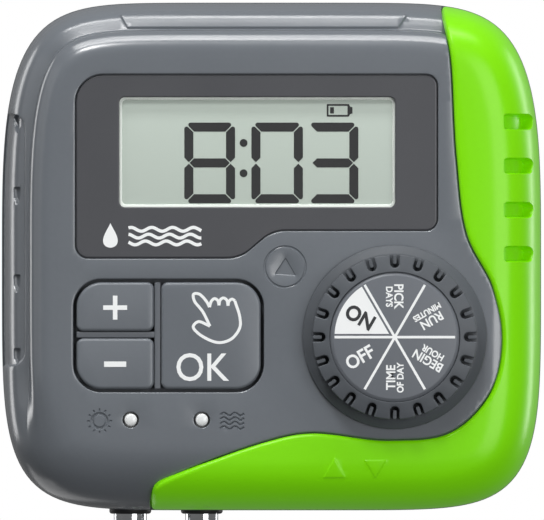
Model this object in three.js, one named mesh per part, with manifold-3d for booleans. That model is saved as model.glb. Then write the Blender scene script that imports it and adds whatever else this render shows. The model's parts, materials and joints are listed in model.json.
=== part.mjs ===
// Irrigation controller: a battery powered pump timer for drip watering of pot plants.
// Millimetres. X to the right, Z up, the front of the controller faces -Y and its back lies in the plane y = 0.
// Everything is laid out about the centre of the case, and the whole group is then moved so that the
// origin is the point on the back face midway between the two hanging keyholes.

import * as THREE from 'three';
import { mergeVertices } from 'three/addons/utils/BufferGeometryUtils.js';
import Module from 'manifold-3d';

const wasm = await Module();
wasm.setup();

// ---------------------------------------------------------------- driving dimensions

const CASE_WIDTH = 120;
const CASE_HEIGHT = 113;
const FACE_Y = -47;
const PARTING_Y = -21;
const WALL = 2.2;
const GAP = 0.3;

const SIDE_POWER = 7;
const TOP_POWER = 3.45;
const BOTTOM_POWER = 4.8;
const OUTLINE_POINTS = 48;

// Inset from the outline and depth of each ring of the front shell, from the parting line to the face.
const SHOULDER_RINGS = [
  [0.6, PARTING_Y], [0, -26], [0.6, -33], [2, -37], [4.4, -39.4], [6.4, -40],
  [7, -42], [8.3, -44.8], [10.6, -46.5], [13.5, FACE_Y],
];
const SMOOTH_RINGS = [
  [0.6, PARTING_Y], [0, -26], [0.3, -31], [1.3, -35], [2.8, -38.3], [4.6, -41],
  [6.4, -43], [8.6, -44.8], [11, -46.2], [13.5, FACE_Y],
];
const TRIM_PROUD = 0.4;
const TRIM_RINGS = [
  [0.6, PARTING_Y], [0, -26], [0.2, -31], [0.8, -36], [2, -40], [4, -43.3],
  [6.4, -45.5], [9, -46.8], [11.5, FACE_Y - TRIM_PROUD], [15, FACE_Y - TRIM_PROUD],
];
const SMOOTH_FROM_Z = -26;
const SMOOTH_TO_Z = -44;
const CAVITY_RINGS = [[2.9, PARTING_Y + 1], [2.9, -34], [8.6, -38.6], [11.4, -44.4]];
const REAR_RINGS = [[6.5, 0], [4.4, -1.3], [2.2, -5], [1, -12], [0.6, PARTING_Y + GAP]];
const REAR_CAVITY_RINGS = [[6.4, -WALL], [4.4, -5.6], [3.2, -12], [2.9, PARTING_Y - 1]];

// The edge between the grey housing and the coloured trim, as [x, z] knots of a smooth curve.
const TRIM_EDGE = [
  [37.7, 58.5], [39.6, 44], [40.9, 22], [43.3, 4.5], [49, -6.8], [51.3, -18.5], [48.6, -30],
  [39.6, -38.9], [26, -40.7], [8.5, -39.1], [-1, -40.9], [-21.5, -48.7], [-25.9, -51.6], [-26.8, -58.5],
];
const TRIM_EDGE_STEPS = 52;
const TRIM_THICKNESS = 1.8;

// The panel's lower edge steps down from lowRight to lowLeft between the x values stepStart and stepEnd.
const PANEL = {
  left: -43.4, right: 36.8, top: 40.3, lowRight: 5.6, lowLeft: -0.5, stepStart: 0.2, stepEnd: -7,
};
const PANEL_BACK_Y = FACE_Y + 1.3;
const PANEL_SUNK = 0.3;
const WINDOW = { left: -33.6, right: 27.3, top: 35.2, bottom: 10.9, corner: 1.2 };
const WINDOW_FRONT_Y = FACE_Y + 0.6;
const WINDOW_THICKNESS = 0.8;
const LCD_BORDER = { side: 3.2, bottom: 2.6, top: 2.2 };
const LCD = {
  left: WINDOW.left - LCD_BORDER.side,
  right: WINDOW.right + LCD_BORDER.side,
  bottom: WINDOW.bottom - LCD_BORDER.bottom,
  top: WINDOW.top + LCD_BORDER.top,
};
const LCD_FRONT_Y = WINDOW_FRONT_Y + WINDOW_THICKNESS + GAP;
const LCD_THICKNESS = 2.6;
const LCD_BACK_Y = LCD_FRONT_Y + LCD_THICKNESS;
const HOLDER = { front: LCD_FRONT_Y + 1.2, wall: 1.5, ledge: 2 };
const LCD_CONNECTOR = { inset: 3, rise: 2.4, height: 2.5 };
const GRIP = { count: 4, left: 51.4, right: 58, topZ: 29.8, pitch: 9.75, half: 1.65, floorY: -42.6 };

// Holes through the front wall run from OUTSIDE_Y, clear of the face, to INSIDE_Y, inside the cavity.
const OUTSIDE_Y = FACE_Y - 2;
const INSIDE_Y = -40;

const KEYPAD = { left: -43.8, right: -1.7, top: -5, bottom: -30, corner: 6.2 };
const KEY_CLEARANCE = 0.6;
const KEY_RIB = 1;
const KEY_SPLIT_X = -25.2;
const KEY_SPLIT_Z = -17.3;
const KEY_TRAVEL = 0.8;
const KEY_STEM_RADIUS = 2.2;
const MAT = { border: 2, rightBorder: 1.2, front: -43.6, back: -42.6, ribSunk: 0.4, ribInset: 0.7 };

const DIAL = {
  x: 27.2, z: -17.8, skirt: 20.3, grip: 18.2, label: 14.3, flutes: 20, fluteRoot: 15.4, fluteWidth: 1.5,
};
const DIAL_FRONT_Y = -54.4;
const DIAL_BACK_Y = FACE_Y - 0.5;
const DIAL_SKIRT = { height: 2.6, edge: 0.9 };
const LABEL = { front: 0.1, back: 0.6, pocket: 0.9 };
const HUB_BACK_Y = -43.2;
const SHAFT_RADIUS = 3;
const HUB_RADIUS = 5;

const LAMPS = [{ name: 'power', x: -31.1, z: -36.1 }, { name: 'water', x: -15.4, z: -36.1 }];
const LENS_RADIUS = 1.7;
const LED = { radius: 1.5, front: -37.7 };

const BOARD = { left: -40, right: 50, top: 38, bottom: -40, corner: 3, front: -34.6, back: -33 };
const BOARD_HOLE = { x: 46, z: 34, radius: 2 };
const BOARD_PARTS_BACK_Y = BOARD.front - GAP;
const CHIP = { left: -2, right: 8, bottom: -34, top: -27, height: 1.6 };

const SWITCH = { front: -38, half: 3.1, bore: 2, plunger: 1.7, plungerFront: -40.2, floor: 0.6 };
const SELECTOR = { half: 8, front: -41.8, shaftBack: -38.6, shaftFront: -51.7 };
const DIAL_SEAL = { inner: 5.4, outer: 7.4, front: -44, back: -42.4 };

const KEYHOLE = { x: 30, z: 36, head: 4.2, slot: 2.1, rise: 6, end: -5 };
const SCREW_PLACES = [[44, 42], [-44, 42], [-44, -41], [40, -46]];
const SCREW_RADIUS = 1.5;
const SCREW_HEAD = 2.7;
const BOSS_RADIUS = 3.8;
const BOSS_FRONT_Y = -40.5;
const SCREW = { tip: -30, seat: -13.6, top: -11.8 };

const CELL = {
  count: 4, radius: 7.1, length: 50.3, pip: 2.7, pipHeight: 1.2, pitch: 14.4,
  firstX: -0.8, bottomZ: -34.4, y: -10.4,
};
const SPRING = { wire: 0.35, height: 2.6, turns: 2.2, inner: 2.4, outer: 4.2, points: 19 };
const CONTACT_THICKNESS = 0.4;
const BAY = { left: -8.2, right: 49.8, top: 20.5, bottom: -39, wall: 1.5, front: -18.4 };
const DOOR = { thickness: 1.6, lip: 2.2 };
const THUMB_GRIP = { half: 8, low: 6, high: 4, depth: 0.7 };
const GASKET = { outer: 3.1, inner: 4.6, back: 0.9, front: 1.4 };

const PUMP = { x: -23.45, y: -15.5, radius: 12, half: 12, corner: 4 };
const HEAD = { low: -40, high: -35, spigot: 5, spigotRadius: 2, bore: 1.1 };
const PUMP_CASE = { low: -29.9, high: -14, bore: 9.8, boreTop: -15.8, shaftHole: 1.6 };
const CRANK = { low: -22.6, high: -17.6, radius: 4.2, shaftHole: 1.3, pinHole: 0.9, pinThrow: 2.6 };
const MOTOR = { low: -13.7, high: 15.4, shaftHole: 1.3, shaftEnd: -7.4, boss: 4, bossTop: 17 };
const RING = { low: 0, high: 9, thickness: 1.4 };
const HOSE = { low: -52.6, high: -40.5, inner: 2.3, outer: 3.6 };
const PORT_XS = { inlet: -31.4, outlet: -15.5 };
const NOZZLE_RADIUS = 3.65;
const COLLAR_RADIUS = 4.65;
const CASE_BOTTOM = -CASE_HEIGHT / 2;
const COLLAR_SEAT_Z = CASE_BOTTOM + 1.3;

// ---------------------------------------------------------------- finishes

const finish = (color, roughness, metalness = 0, extra = {}) =>
  new THREE.MeshStandardMaterial({ color, roughness, metalness, ...extra });

const FINISH = {
  housing: finish(0x6a6e74, 0.5),
  rear: finish(0x54575c, 0.6),
  trim: finish(0x7bd700, 0.35),
  panel: finish(0x505154, 0.3),
  window: finish(0xd8e2d8, 0.08, 0, { transparent: true, opacity: 0.35 }),
  lcd: finish(0xc1ccc4, 0.3),
  key: finish(0x66696f, 0.45),
  dial: finish(0x3c3f43, 0.5),
  label: finish(0x4a4d52, 0.4),
  lens: finish(0xe4e6e8, 0.2),
  silicone: finish(0xd0d2cf, 0.6),
  seal: finish(0x222324, 0.8),
  board: finish(0x1e6b3a, 0.5),
  chip: finish(0x1b1c1e, 0.45),
  switchBody: finish(0x2a2b2d, 0.5),
  plastic: finish(0xe9e6df, 0.5),
  steel: finish(0xb9bcc0, 0.3, 1),
  brass: finish(0xc9a24b, 0.35, 1),
  cell: finish(0x2f4a78, 0.35, 0.2),
  collar: finish(0x17181a, 0.5),
  nozzle: finish(0xd5d8da, 0.15, 1),
};

// ---------------------------------------------------------------- solids

// A closed geometry as a solid, with shared corners merged and collapsed triangles left out.
function solid(geometry) {
  const bare = new THREE.BufferGeometry();
  bare.setAttribute('position', geometry.attributes.position);
  bare.setIndex(geometry.index);
  const merged = mergeVertices(bare, 1e-4);
  const index = merged.index.array;
  const triangles = [];
  for (let i = 0; i < index.length; i += 3) {
    const [a, b, c] = [index[i], index[i + 1], index[i + 2]];
    if (a !== b && b !== c && c !== a) triangles.push(a, b, c);
  }
  return new wasm.Manifold(new wasm.Mesh({
    numProp: 3,
    vertProperties: new Float32Array(merged.attributes.position.array),
    triVerts: new Uint32Array(triangles),
  }));
}

function geometryOf(body) {
  const mesh = body.getMesh();
  const geometry = new THREE.BufferGeometry();
  geometry.setAttribute('position', new THREE.BufferAttribute(mesh.vertProperties, 3));
  geometry.setIndex(new THREE.BufferAttribute(mesh.triVerts, 1));
  geometry.computeVertexNormals();
  return geometry;
}

const group = new THREE.Group();

function piece(name, body, material) {
  const mesh = new THREE.Mesh(geometryOf(body), material);
  mesh.name = name;
  group.add(mesh);
}

// ---------------------------------------------------------------- shapes

function polygon(points) {
  return new THREE.Shape(points.map(([x, z]) => new THREE.Vector2(x, z)));
}

// A polygon whose corners [x, z, radius] are rounded, corner after corner.
function roundedPoints(corners, steps = 4) {
  const points = [];
  corners.forEach(([x, z, radius], i) => {
    const corner = new THREE.Vector2(x, z);
    const before = corners[(i + corners.length - 1) % corners.length];
    const after = corners[(i + 1) % corners.length];
    const toBefore = new THREE.Vector2(before[0], before[1]).sub(corner).normalize();
    const toAfter = new THREE.Vector2(after[0], after[1]).sub(corner).normalize();
    const half = Math.acos(toBefore.dot(toAfter)) / 2;
    const inward = toBefore.clone().add(toAfter).normalize();
    const centre = inward.multiplyScalar(radius / Math.sin(half)).add(corner);
    const start = toBefore.clone().multiplyScalar(radius / Math.tan(half)).add(corner).sub(centre);
    const end = toAfter.clone().multiplyScalar(radius / Math.tan(half)).add(corner).sub(centre);
    const turn = Math.atan2(start.cross(end), start.dot(end));
    for (let step = 0; step <= steps; step += 1) {
      const angle = start.angle() + (turn * step) / steps;
      points.push([centre.x + radius * Math.cos(angle), centre.y + radius * Math.sin(angle)]);
    }
  });
  return points;
}

function roundedBox(left, right, bottom, top, radius, steps) {
  const corners = [[left, bottom, radius], [right, bottom, radius], [right, top, radius], [left, top, radius]];
  return roundedPoints(corners, steps);
}

function circle(x, z, radius, segments = 24) {
  return Array.from({ length: segments }, (_, i) => {
    const angle = (2 * Math.PI * i) / segments;
    return [x + radius * Math.cos(angle), z + radius * Math.sin(angle)];
  });
}

// Prism of an [x, z] outline from y = back to y = front, the front being the lower y.
function prismY(points, back, front) {
  const geometry = new THREE.ExtrudeGeometry(polygon(points), { depth: back - front, bevelEnabled: false });
  geometry.rotateX(Math.PI / 2);
  geometry.translate(0, back, 0);
  return solid(geometry);
}

// Prism of an [x, y] outline from z = bottom to z = top.
function prismZ(points, bottom, top) {
  const geometry = new THREE.ExtrudeGeometry(polygon(points), { depth: top - bottom, bevelEnabled: false });
  geometry.translate(0, 0, bottom);
  return solid(geometry);
}

function block(x0, x1, y0, y1, z0, z1) {
  const geometry = new THREE.BoxGeometry(x1 - x0, y1 - y0, z1 - z0);
  geometry.translate((x0 + x1) / 2, (y0 + y1) / 2, (z0 + z1) / 2);
  return solid(geometry);
}

// Turned body about an axis along Y through (x, z): profile [radius, y], from low y to high y.
function turnedY(profile, x, z, segments = 32) {
  const geometry = new THREE.LatheGeometry(profile.map(([r, y]) => new THREE.Vector2(r, y)), segments);
  geometry.translate(x, 0, z);
  return solid(geometry);
}

// Turned body about an axis along Z through (x, y): profile [radius, z], from low z to high z.
function turnedZ(profile, x, y, segments = 24) {
  const geometry = new THREE.LatheGeometry(profile.map(([r, z]) => new THREE.Vector2(r, z)), segments);
  geometry.rotateX(Math.PI / 2);
  geometry.translate(x, y, 0);
  return solid(geometry);
}

// Closed profile of a straight tube, for a turned body.
const tubeProfile = (inner, outer, low, high) =>
  [[inner, low], [outer, low], [outer, high], [inner, high], [inner, low]];

const rodY = (x, z, radius, back, front, segments = 20) => prismY(circle(x, z, radius, segments), back, front);
const rodZ = (x, y, radius, bottom, top, segments = 20) => prismZ(circle(x, y, radius, segments), bottom, top);

// ---------------------------------------------------------------- the case outline

// Point of the rounded-square outline at parameter angle, moved in along the outline's normal by inset.
function outlinePoint(angle, inset) {
  const c = Math.cos(angle);
  const s = Math.sin(angle);
  const power = s >= 0 ? TOP_POWER : BOTTOM_POWER;
  const u = Math.sign(c) * Math.abs(c) ** (2 / SIDE_POWER);
  const v = Math.sign(s) * Math.abs(s) ** (2 / power);
  const normal = new THREE.Vector2(
    (Math.sign(u) * SIDE_POWER * Math.abs(u) ** (SIDE_POWER - 1)) / CASE_WIDTH,
    (Math.sign(v) * power * Math.abs(v) ** (power - 1)) / CASE_HEIGHT,
  ).normalize();
  return [(u * CASE_WIDTH) / 2 - inset * normal.x, (v * CASE_HEIGHT) / 2 - inset * normal.y];
}

// One ring of points; ringOf gives [inset, y] for a point at height z of the outline.
function outlineRing(ringOf, count) {
  return Array.from({ length: count }, (_, i) => {
    const angle = (2 * Math.PI * i) / count;
    const [inset, y] = ringOf(outlinePoint(angle, 0)[1]);
    const [x, z] = outlinePoint(angle, inset);
    return new THREE.Vector3(x, y, z);
  });
}

// Closed skin over rings that run from the back to the front, with a fan over each end.
function loft(rings) {
  const count = rings[0].length;
  const positions = rings.flat().flatMap((p) => [p.x, p.y, p.z]);
  const index = [];
  for (let ring = 0; ring + 1 < rings.length; ring += 1) {
    for (let i = 0; i < count; i += 1) {
      const a = ring * count + i;
      const b = ring * count + ((i + 1) % count);
      index.push(a, b, a + count, b, b + count, a + count);
    }
  }
  const centreOf = (ring) => {
    positions.push(0, ring[0].y, 0);
    return positions.length / 3 - 1;
  };
  const back = centreOf(rings[0]);
  const front = centreOf(rings[rings.length - 1]);
  const last = (rings.length - 1) * count;
  for (let i = 0; i < count; i += 1) {
    const j = (i + 1) % count;
    index.push(back, j, i, front, last + i, last + j);
  }
  const geometry = new THREE.BufferGeometry();
  geometry.setAttribute('position', new THREE.Float32BufferAttribute(positions, 3));
  geometry.setIndex(index);
  return solid(geometry);
}

function plainLoft(rings, thickness = 0) {
  return loft(rings.map(([inset, y]) => {
    const movedY = y > PARTING_Y - 1 ? y : y + thickness;
    return outlineRing(() => [inset + thickness, movedY], OUTLINE_POINTS);
  }));
}

// The front shell has a stepped shoulder at the top and sides that fades into a smooth one at the bottom.
function frontLoft() {
  return loft(SHOULDER_RINGS.map(([inset, y], i) => outlineRing((z) => {
    const t = THREE.MathUtils.smoothstep(-z, -SMOOTH_FROM_Z, -SMOOTH_TO_Z);
    const [smoothInset, smoothY] = SMOOTH_RINGS[i];
    return [THREE.MathUtils.lerp(inset, smoothInset, t), THREE.MathUtils.lerp(y, smoothY, t)];
  }, OUTLINE_POINTS)));
}

// ---------------------------------------------------------------- the trim edge

// Everything right of and below the trim edge, the edge itself moved towards the trim by offset.
function trimRegion(offset) {
  const knots = TRIM_EDGE.map(([x, z]) => new THREE.Vector3(x, z, 0));
  const curve = new THREE.CatmullRomCurve3(knots, false, 'centripetal');
  const edge = Array.from({ length: TRIM_EDGE_STEPS + 1 }, (_, i) => {
    const t = i / TRIM_EDGE_STEPS;
    const point = curve.getPoint(t);
    const tangent = curve.getTangent(t);
    return [point.x - offset * tangent.y, point.y + offset * tangent.x];
  });
  const far = CASE_WIDTH * 0.6;
  const [topX] = TRIM_EDGE[0];
  const [bottomX] = TRIM_EDGE[TRIM_EDGE.length - 1];
  const outline = [...edge, [bottomX, -far], [far, -far], [far, far], [topX, far]];
  return prismY(outline, PARTING_Y + 5, FACE_Y - 5);
}

// ---------------------------------------------------------------- front housing, trim and display

function panelOutline(clearance) {
  const p = PANEL;
  const c = clearance;
  return roundedPoints([
    [p.left + c, p.lowLeft + c, 2.9 - c], [p.stepEnd, p.lowLeft + c, 8], [p.stepStart, p.lowRight + c, 8],
    [p.right - c, p.lowRight + c, 2.7 - c], [p.right - c, p.top - c, 2.7 - c], [p.left + c, p.top - c, 6.2 - c],
  ], 5);
}

function windowOutline(clearance) {
  const w = WINDOW;
  const c = clearance;
  return roundedBox(w.left + c, w.right - c, w.bottom + c, w.top - c, w.corner - c / 2);
}

function frontHousing() {
  const underTrim = plainLoft(TRIM_RINGS, TRIM_THICKNESS + GAP).intersect(trimRegion(-GAP / 2));
  let body = frontLoft().subtract(trimRegion(0)).add(underTrim);
  body = body.subtract(plainLoft(CAVITY_RINGS));
  for (const [x, z] of SCREW_PLACES) {
    const boss = rodY(x, z, BOSS_RADIUS, PARTING_Y - 1, BOSS_FRONT_Y, 16);
    body = body.add(boss).subtract(rodY(x, z, SCREW_RADIUS + 0.1, PARTING_Y, SCREW.tip - 1, 12));
  }
  const k = KEYPAD;
  body = body
    .subtract(prismY(panelOutline(0), PANEL_BACK_Y + GAP, OUTSIDE_Y))
    .subtract(block(LCD.left - GAP, LCD.right + GAP, FACE_Y, LCD_BACK_Y, LCD.bottom - GAP, LCD.top + GAP))
    .subtract(prismY(roundedBox(k.left, k.right, k.bottom, k.top, k.corner), INSIDE_Y, OUTSIDE_Y))
    .subtract(rodY(DIAL.x, DIAL.z, HUB_RADIUS + 0.5, INSIDE_Y, OUTSIDE_Y, 32));
  for (const lamp of LAMPS) {
    body = body.subtract(rodY(lamp.x, lamp.z, LENS_RADIUS + GAP, INSIDE_Y, OUTSIDE_Y, 20));
  }
  return body;
}

// The trim is a thin skin over the housing, with four grip notches in its rounded right side.
function greenTrim() {
  const openRings = [[0.6, PARTING_Y + 2], ...TRIM_RINGS.slice(1)];
  let body = plainLoft(TRIM_RINGS).subtract(plainLoft(openRings, TRIM_THICKNESS));
  body = body.intersect(trimRegion(GAP)).subtract(block(-99, 99, PARTING_Y - GAP / 2, 9, -99, 99));
  for (let i = 0; i < GRIP.count; i += 1) {
    const z = GRIP.topZ - GRIP.pitch * i;
    body = body.subtract(block(GRIP.left, GRIP.right, OUTSIDE_Y, GRIP.floorY, z - GRIP.half, z + GRIP.half));
  }
  return body;
}

piece('front_housing', frontHousing(), FINISH.housing);
piece('green_trim', greenTrim(), FINISH.trim);
piece('display_panel',
  prismY(panelOutline(0.2), PANEL_BACK_Y, FACE_Y + PANEL_SUNK).subtract(prismY(windowOutline(0), 0, OUTSIDE_Y)),
  FINISH.panel);
piece('display_window',
  prismY(windowOutline(GAP), WINDOW_FRONT_Y + WINDOW_THICKNESS, WINDOW_FRONT_Y), FINISH.window);

function lcdHolder() {
  const { left, right, bottom, top } = LCD;
  const { front, wall, ledge } = HOLDER;
  return block(left - wall, right + wall, front, BOARD_PARTS_BACK_Y, bottom - wall, top + wall)
    .subtract(block(left - GAP, right + GAP, OUTSIDE_Y, LCD_BACK_Y + GAP, bottom - GAP, top + GAP))
    .subtract(block(left + ledge, right - ledge, OUTSIDE_Y, 0, bottom + ledge, top - ledge));
}

// Conductive rubber strip between the display's lower edge and the board.
function lcdConnector() {
  const { inset, rise, height } = LCD_CONNECTOR;
  const low = LCD.bottom + rise;
  return block(LCD.left + inset, LCD.right - inset, LCD_BACK_Y + GAP, BOARD_PARTS_BACK_Y, low, low + height);
}

piece('lcd_module', block(LCD.left, LCD.right, LCD_FRONT_Y, LCD_BACK_Y, LCD.bottom, LCD.top), FINISH.lcd);
piece('lcd_holder', lcdHolder(), FINISH.plastic);
piece('lcd_connector', lcdConnector(), FINISH.seal);

// ---------------------------------------------------------------- keys and their switches

const KEYS = [
  { name: 'plus', box: [KEYPAD.left, KEY_SPLIT_X, KEY_SPLIT_Z, KEYPAD.top] },
  { name: 'minus', box: [KEYPAD.left, KEY_SPLIT_X, KEYPAD.bottom, KEY_SPLIT_Z] },
  { name: 'ok', box: [KEY_SPLIT_X, KEYPAD.right, KEYPAD.bottom, KEYPAD.top] },
];
const KEY_BACK = -44.7;

function keyCorners(key) {
  const [left, right, bottom, top] = key.box;
  const edge = KEY_CLEARANCE + 0.1;
  const rib = KEY_RIB / 2 + GAP;
  const x0 = left + (left === KEY_SPLIT_X ? rib : edge);
  const x1 = right - (right === KEY_SPLIT_X ? rib : edge);
  const z0 = bottom + (bottom === KEY_SPLIT_Z ? rib : edge);
  const z1 = top - (top === KEY_SPLIT_Z ? rib : edge);
  const outer = KEYPAD.corner - edge;
  const radius = (x, z) => (x !== KEY_SPLIT_X && z !== KEY_SPLIT_Z ? outer : 1.5);
  return [
    [x0, z0, radius(left, bottom)], [x1, z0, radius(right, bottom)],
    [x1, z1, radius(right, top)], [x0, z1, radius(left, top)],
  ];
}

for (const key of KEYS) {
  const [left, right, bottom, top] = key.box;
  const x = (left + right) / 2;
  const z = (bottom + top) / 2;
  piece(`key_${key.name}`,
    prismY(roundedPoints(keyCorners(key)), KEY_BACK, FACE_Y - 0.2)
      .add(rodY(x, z, KEY_STEM_RADIUS, SWITCH.plungerFront - GAP, KEY_BACK - 1, 16)), FINISH.key);
  const plungerBack = SWITCH.front + SWITCH.floor;
  piece(`switch_plunger_${key.name}`,
    rodY(x, z, SWITCH.plunger, plungerBack, SWITCH.plungerFront, 16), FINISH.collar);
  piece(`switch_body_${key.name}`,
    block(x - SWITCH.half, x + SWITCH.half, SWITCH.front, BOARD_PARTS_BACK_Y, z - SWITCH.half, z + SWITCH.half)
      .subtract(rodY(x, z, SWITCH.bore, plungerBack + KEY_TRAVEL + GAP, SWITCH.front - 1, 16)),
    FINISH.switchBody);
}

function keypadMat() {
  const k = KEYPAD;
  const { border, rightBorder, front, back, ribInset } = MAT;
  const half = KEY_RIB / 2;
  const ribFront = FACE_Y + MAT.ribSunk;
  const sheet = roundedBox(k.left - border, k.right + rightBorder, k.bottom - border, k.top + border, k.corner);
  let body = prismY(sheet, back, front)
    .add(block(KEY_SPLIT_X - half, KEY_SPLIT_X + half, ribFront, back, k.bottom + ribInset, k.top - ribInset))
    .add(block(k.left + ribInset, KEY_SPLIT_X, ribFront, back, KEY_SPLIT_Z - half, KEY_SPLIT_Z + half));
  for (const key of KEYS) {
    const [left, right, bottom, top] = key.box;
    const hole = rodY((left + right) / 2, (bottom + top) / 2, KEY_STEM_RADIUS + 0.4, INSIDE_Y, front - 0.5, 16);
    body = body.subtract(hole);
  }
  return body;
}
piece('keypad_mat', keypadMat(), FINISH.key);

// ---------------------------------------------------------------- lamps, dial and board

for (const { name, x, z } of LAMPS) {
  piece(`lamp_lens_${name}`, rodY(x, z, LENS_RADIUS, LED.front - GAP, FACE_Y - 0.2, 20), FINISH.lens);
  piece(`lamp_led_${name}`, rodY(x, z, LED.radius, BOARD_PARTS_BACK_Y, LED.front, 16), FINISH.lens);
}

// Knob rim outline: a circle with slots that open outwards.
function flutedOutline() {
  const points = [];
  const half = DIAL.fluteWidth / 2;
  for (let i = 0; i < DIAL.flutes; i += 1) {
    const middle = (2 * Math.PI * i) / DIAL.flutes;
    const mouth = Math.asin(half / DIAL.grip);
    const root = DIAL.fluteRoot + half;
    const place = (radius, side) => [
      DIAL.x + radius * Math.cos(middle) - side * Math.sin(middle),
      DIAL.z + radius * Math.sin(middle) + side * Math.cos(middle),
    ];
    points.push(place(DIAL.grip * Math.cos(mouth), -half), place(root, -half), place(DIAL.fluteRoot, 0));
    points.push(place(root, half), place(DIAL.grip * Math.cos(mouth), half));
    const next = middle + Math.PI / DIAL.flutes;
    points.push([DIAL.x + DIAL.grip * Math.cos(next), DIAL.z + DIAL.grip * Math.sin(next)]);
  }
  return points;
}

function dialKnob() {
  const { x, z } = DIAL;
  const skirtTop = DIAL_BACK_Y - DIAL_SKIRT.height;
  const skirtEdge = DIAL_BACK_Y - DIAL_SKIRT.edge;
  const skirt = turnedY([
    [0, skirtTop], [DIAL.grip, skirtTop], [DIAL.skirt, skirtEdge], [DIAL.skirt, DIAL_BACK_Y], [0, DIAL_BACK_Y],
  ], x, z, 40);
  const hub = rodY(x, z, HUB_RADIUS, HUB_BACK_Y, DIAL_BACK_Y - 1, 24);
  return skirt.add(prismY(flutedOutline(), skirtTop + 0.5, DIAL_FRONT_Y)).add(hub)
    .subtract(rodY(x, z, DIAL.label + GAP, DIAL_FRONT_Y + LABEL.pocket, DIAL_FRONT_Y - 1, 40))
    .subtract(rodY(x, z, SHAFT_RADIUS + GAP, INSIDE_Y, SELECTOR.shaftFront - GAP, 20));
}
piece('dial_knob', dialKnob(), FINISH.dial);
piece('dial_label',
  rodY(DIAL.x, DIAL.z, DIAL.label, DIAL_FRONT_Y + LABEL.back, DIAL_FRONT_Y + LABEL.front, 40), FINISH.label);
piece('selector_shaft',
  rodY(DIAL.x, DIAL.z, SHAFT_RADIUS, SELECTOR.shaftBack, SELECTOR.shaftFront, 20), FINISH.steel);

function selectorBody() {
  const { half, front, shaftBack } = SELECTOR;
  return block(DIAL.x - half, DIAL.x + half, front, BOARD_PARTS_BACK_Y, DIAL.z - half, DIAL.z + half)
    .subtract(rodY(DIAL.x, DIAL.z, SHAFT_RADIUS + GAP, shaftBack + 2 * GAP, front - 1, 20));
}
piece('selector_body', selectorBody(), FINISH.switchBody);

function dialSeal() {
  const { inner, outer, front, back } = DIAL_SEAL;
  return turnedY(tubeProfile(inner, outer, front, back), DIAL.x, DIAL.z, 20);
}
piece('dial_seal', dialSeal(), FINISH.seal);

function mainBoard() {
  const { left, right, bottom, top, corner, back, front } = BOARD;
  return prismY(roundedBox(left, right, bottom, top, corner), back, front)
    .subtract(rodY(BOARD_HOLE.x, BOARD_HOLE.z, BOARD_HOLE.radius, 0, INSIDE_Y, 12));
}
piece('main_board', mainBoard(), FINISH.board);
piece('controller_chip',
  block(CHIP.left, CHIP.right, BOARD_PARTS_BACK_Y - CHIP.height, BOARD_PARTS_BACK_Y, CHIP.bottom, CHIP.top),
  FINISH.chip);

// ---------------------------------------------------------------- rear housing, gasket, door and screws

function rearHousing() {
  const { left, right, bottom, top, wall, front } = BAY;
  const { lip } = DOOR;
  let body = plainLoft(REAR_RINGS)
    .subtract(plainLoft(REAR_CAVITY_RINGS))
    .add(block(left - wall, right + wall, front - wall, -0.6, bottom - wall, top + wall))
    .subtract(block(left, right, front, 5, bottom, top))
    .subtract(block(left - lip, right + lip, -DOOR.thickness - 0.2, 5, bottom - lip, top + lip));
  for (const [x, z] of SCREW_PLACES) {
    body = body
      .add(rodY(x, z, BOSS_RADIUS, -1, PARTING_Y + GAP, 16))
      .subtract(rodY(x, z, SCREW_RADIUS + GAP, 1, PARTING_Y - 1, 12))
      .subtract(rodY(x, z, SCREW_HEAD + GAP, 1, SCREW.seat - GAP - 0.1, 16));
  }
  const keyholeLow = KEYHOLE.z - KEYHOLE.rise / 2;
  const keyholeHigh = KEYHOLE.z + KEYHOLE.rise / 2;
  for (const x of [-KEYHOLE.x, KEYHOLE.x]) {
    body = body
      .subtract(rodY(x, keyholeLow, KEYHOLE.head, 1, KEYHOLE.end, 24))
      .subtract(rodY(x, keyholeHigh, KEYHOLE.slot, 1, KEYHOLE.end, 16))
      .subtract(block(x - KEYHOLE.slot, x + KEYHOLE.slot, KEYHOLE.end, 1, keyholeLow, keyholeHigh));
  }
  for (const x of Object.values(PORT_XS)) {
    body = body
      .subtract(rodZ(x, PUMP.y, NOZZLE_RADIUS + GAP, CASE_BOTTOM - 3, CASE_BOTTOM + 8, 16))
      .subtract(rodZ(x, PUMP.y, COLLAR_RADIUS + GAP, CASE_BOTTOM - 3, COLLAR_SEAT_Z, 20));
  }
  return body;
}
piece('rear_housing', rearHousing(), FINISH.rear);

// Rubber cord that lies inside both housings, across the parting line.
function housingGasket() {
  const { outer, inner, back, front } = GASKET;
  return plainLoft([[outer, PARTING_Y + back], [outer, PARTING_Y - front]])
    .subtract(plainLoft([[inner, PARTING_Y + 2 * back], [inner, PARTING_Y - 2 * front]]));
}
piece('housing_gasket', housingGasket(), FINISH.seal);

function batteryDoor() {
  const { left, right, bottom, top } = BAY;
  const { half, low, high, depth } = THUMB_GRIP;
  const edge = DOOR.lip - GAP;
  const outline = roundedBox(left - edge, right + edge, bottom - edge, top + edge, 1);
  const middle = (left + right) / 2;
  return prismY(outline, 0, -DOOR.thickness + 0.1)
    .subtract(block(middle - half, middle + half, -depth, 1, top - low, top - high));
}
piece('battery_door', batteryDoor(), FINISH.rear);

SCREW_PLACES.forEach(([x, z], i) => {
  const { tip, seat, top } = SCREW;
  const radius = SCREW_RADIUS - GAP;
  const profile = [[0, tip], [radius, tip], [radius, seat], [SCREW_HEAD, seat], [SCREW_HEAD, top], [0, top]];
  piece(`housing_screw_${i + 1}`, turnedY(profile, x, z, 12), FINISH.steel);
});

// ---------------------------------------------------------------- cells, springs and contacts

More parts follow.
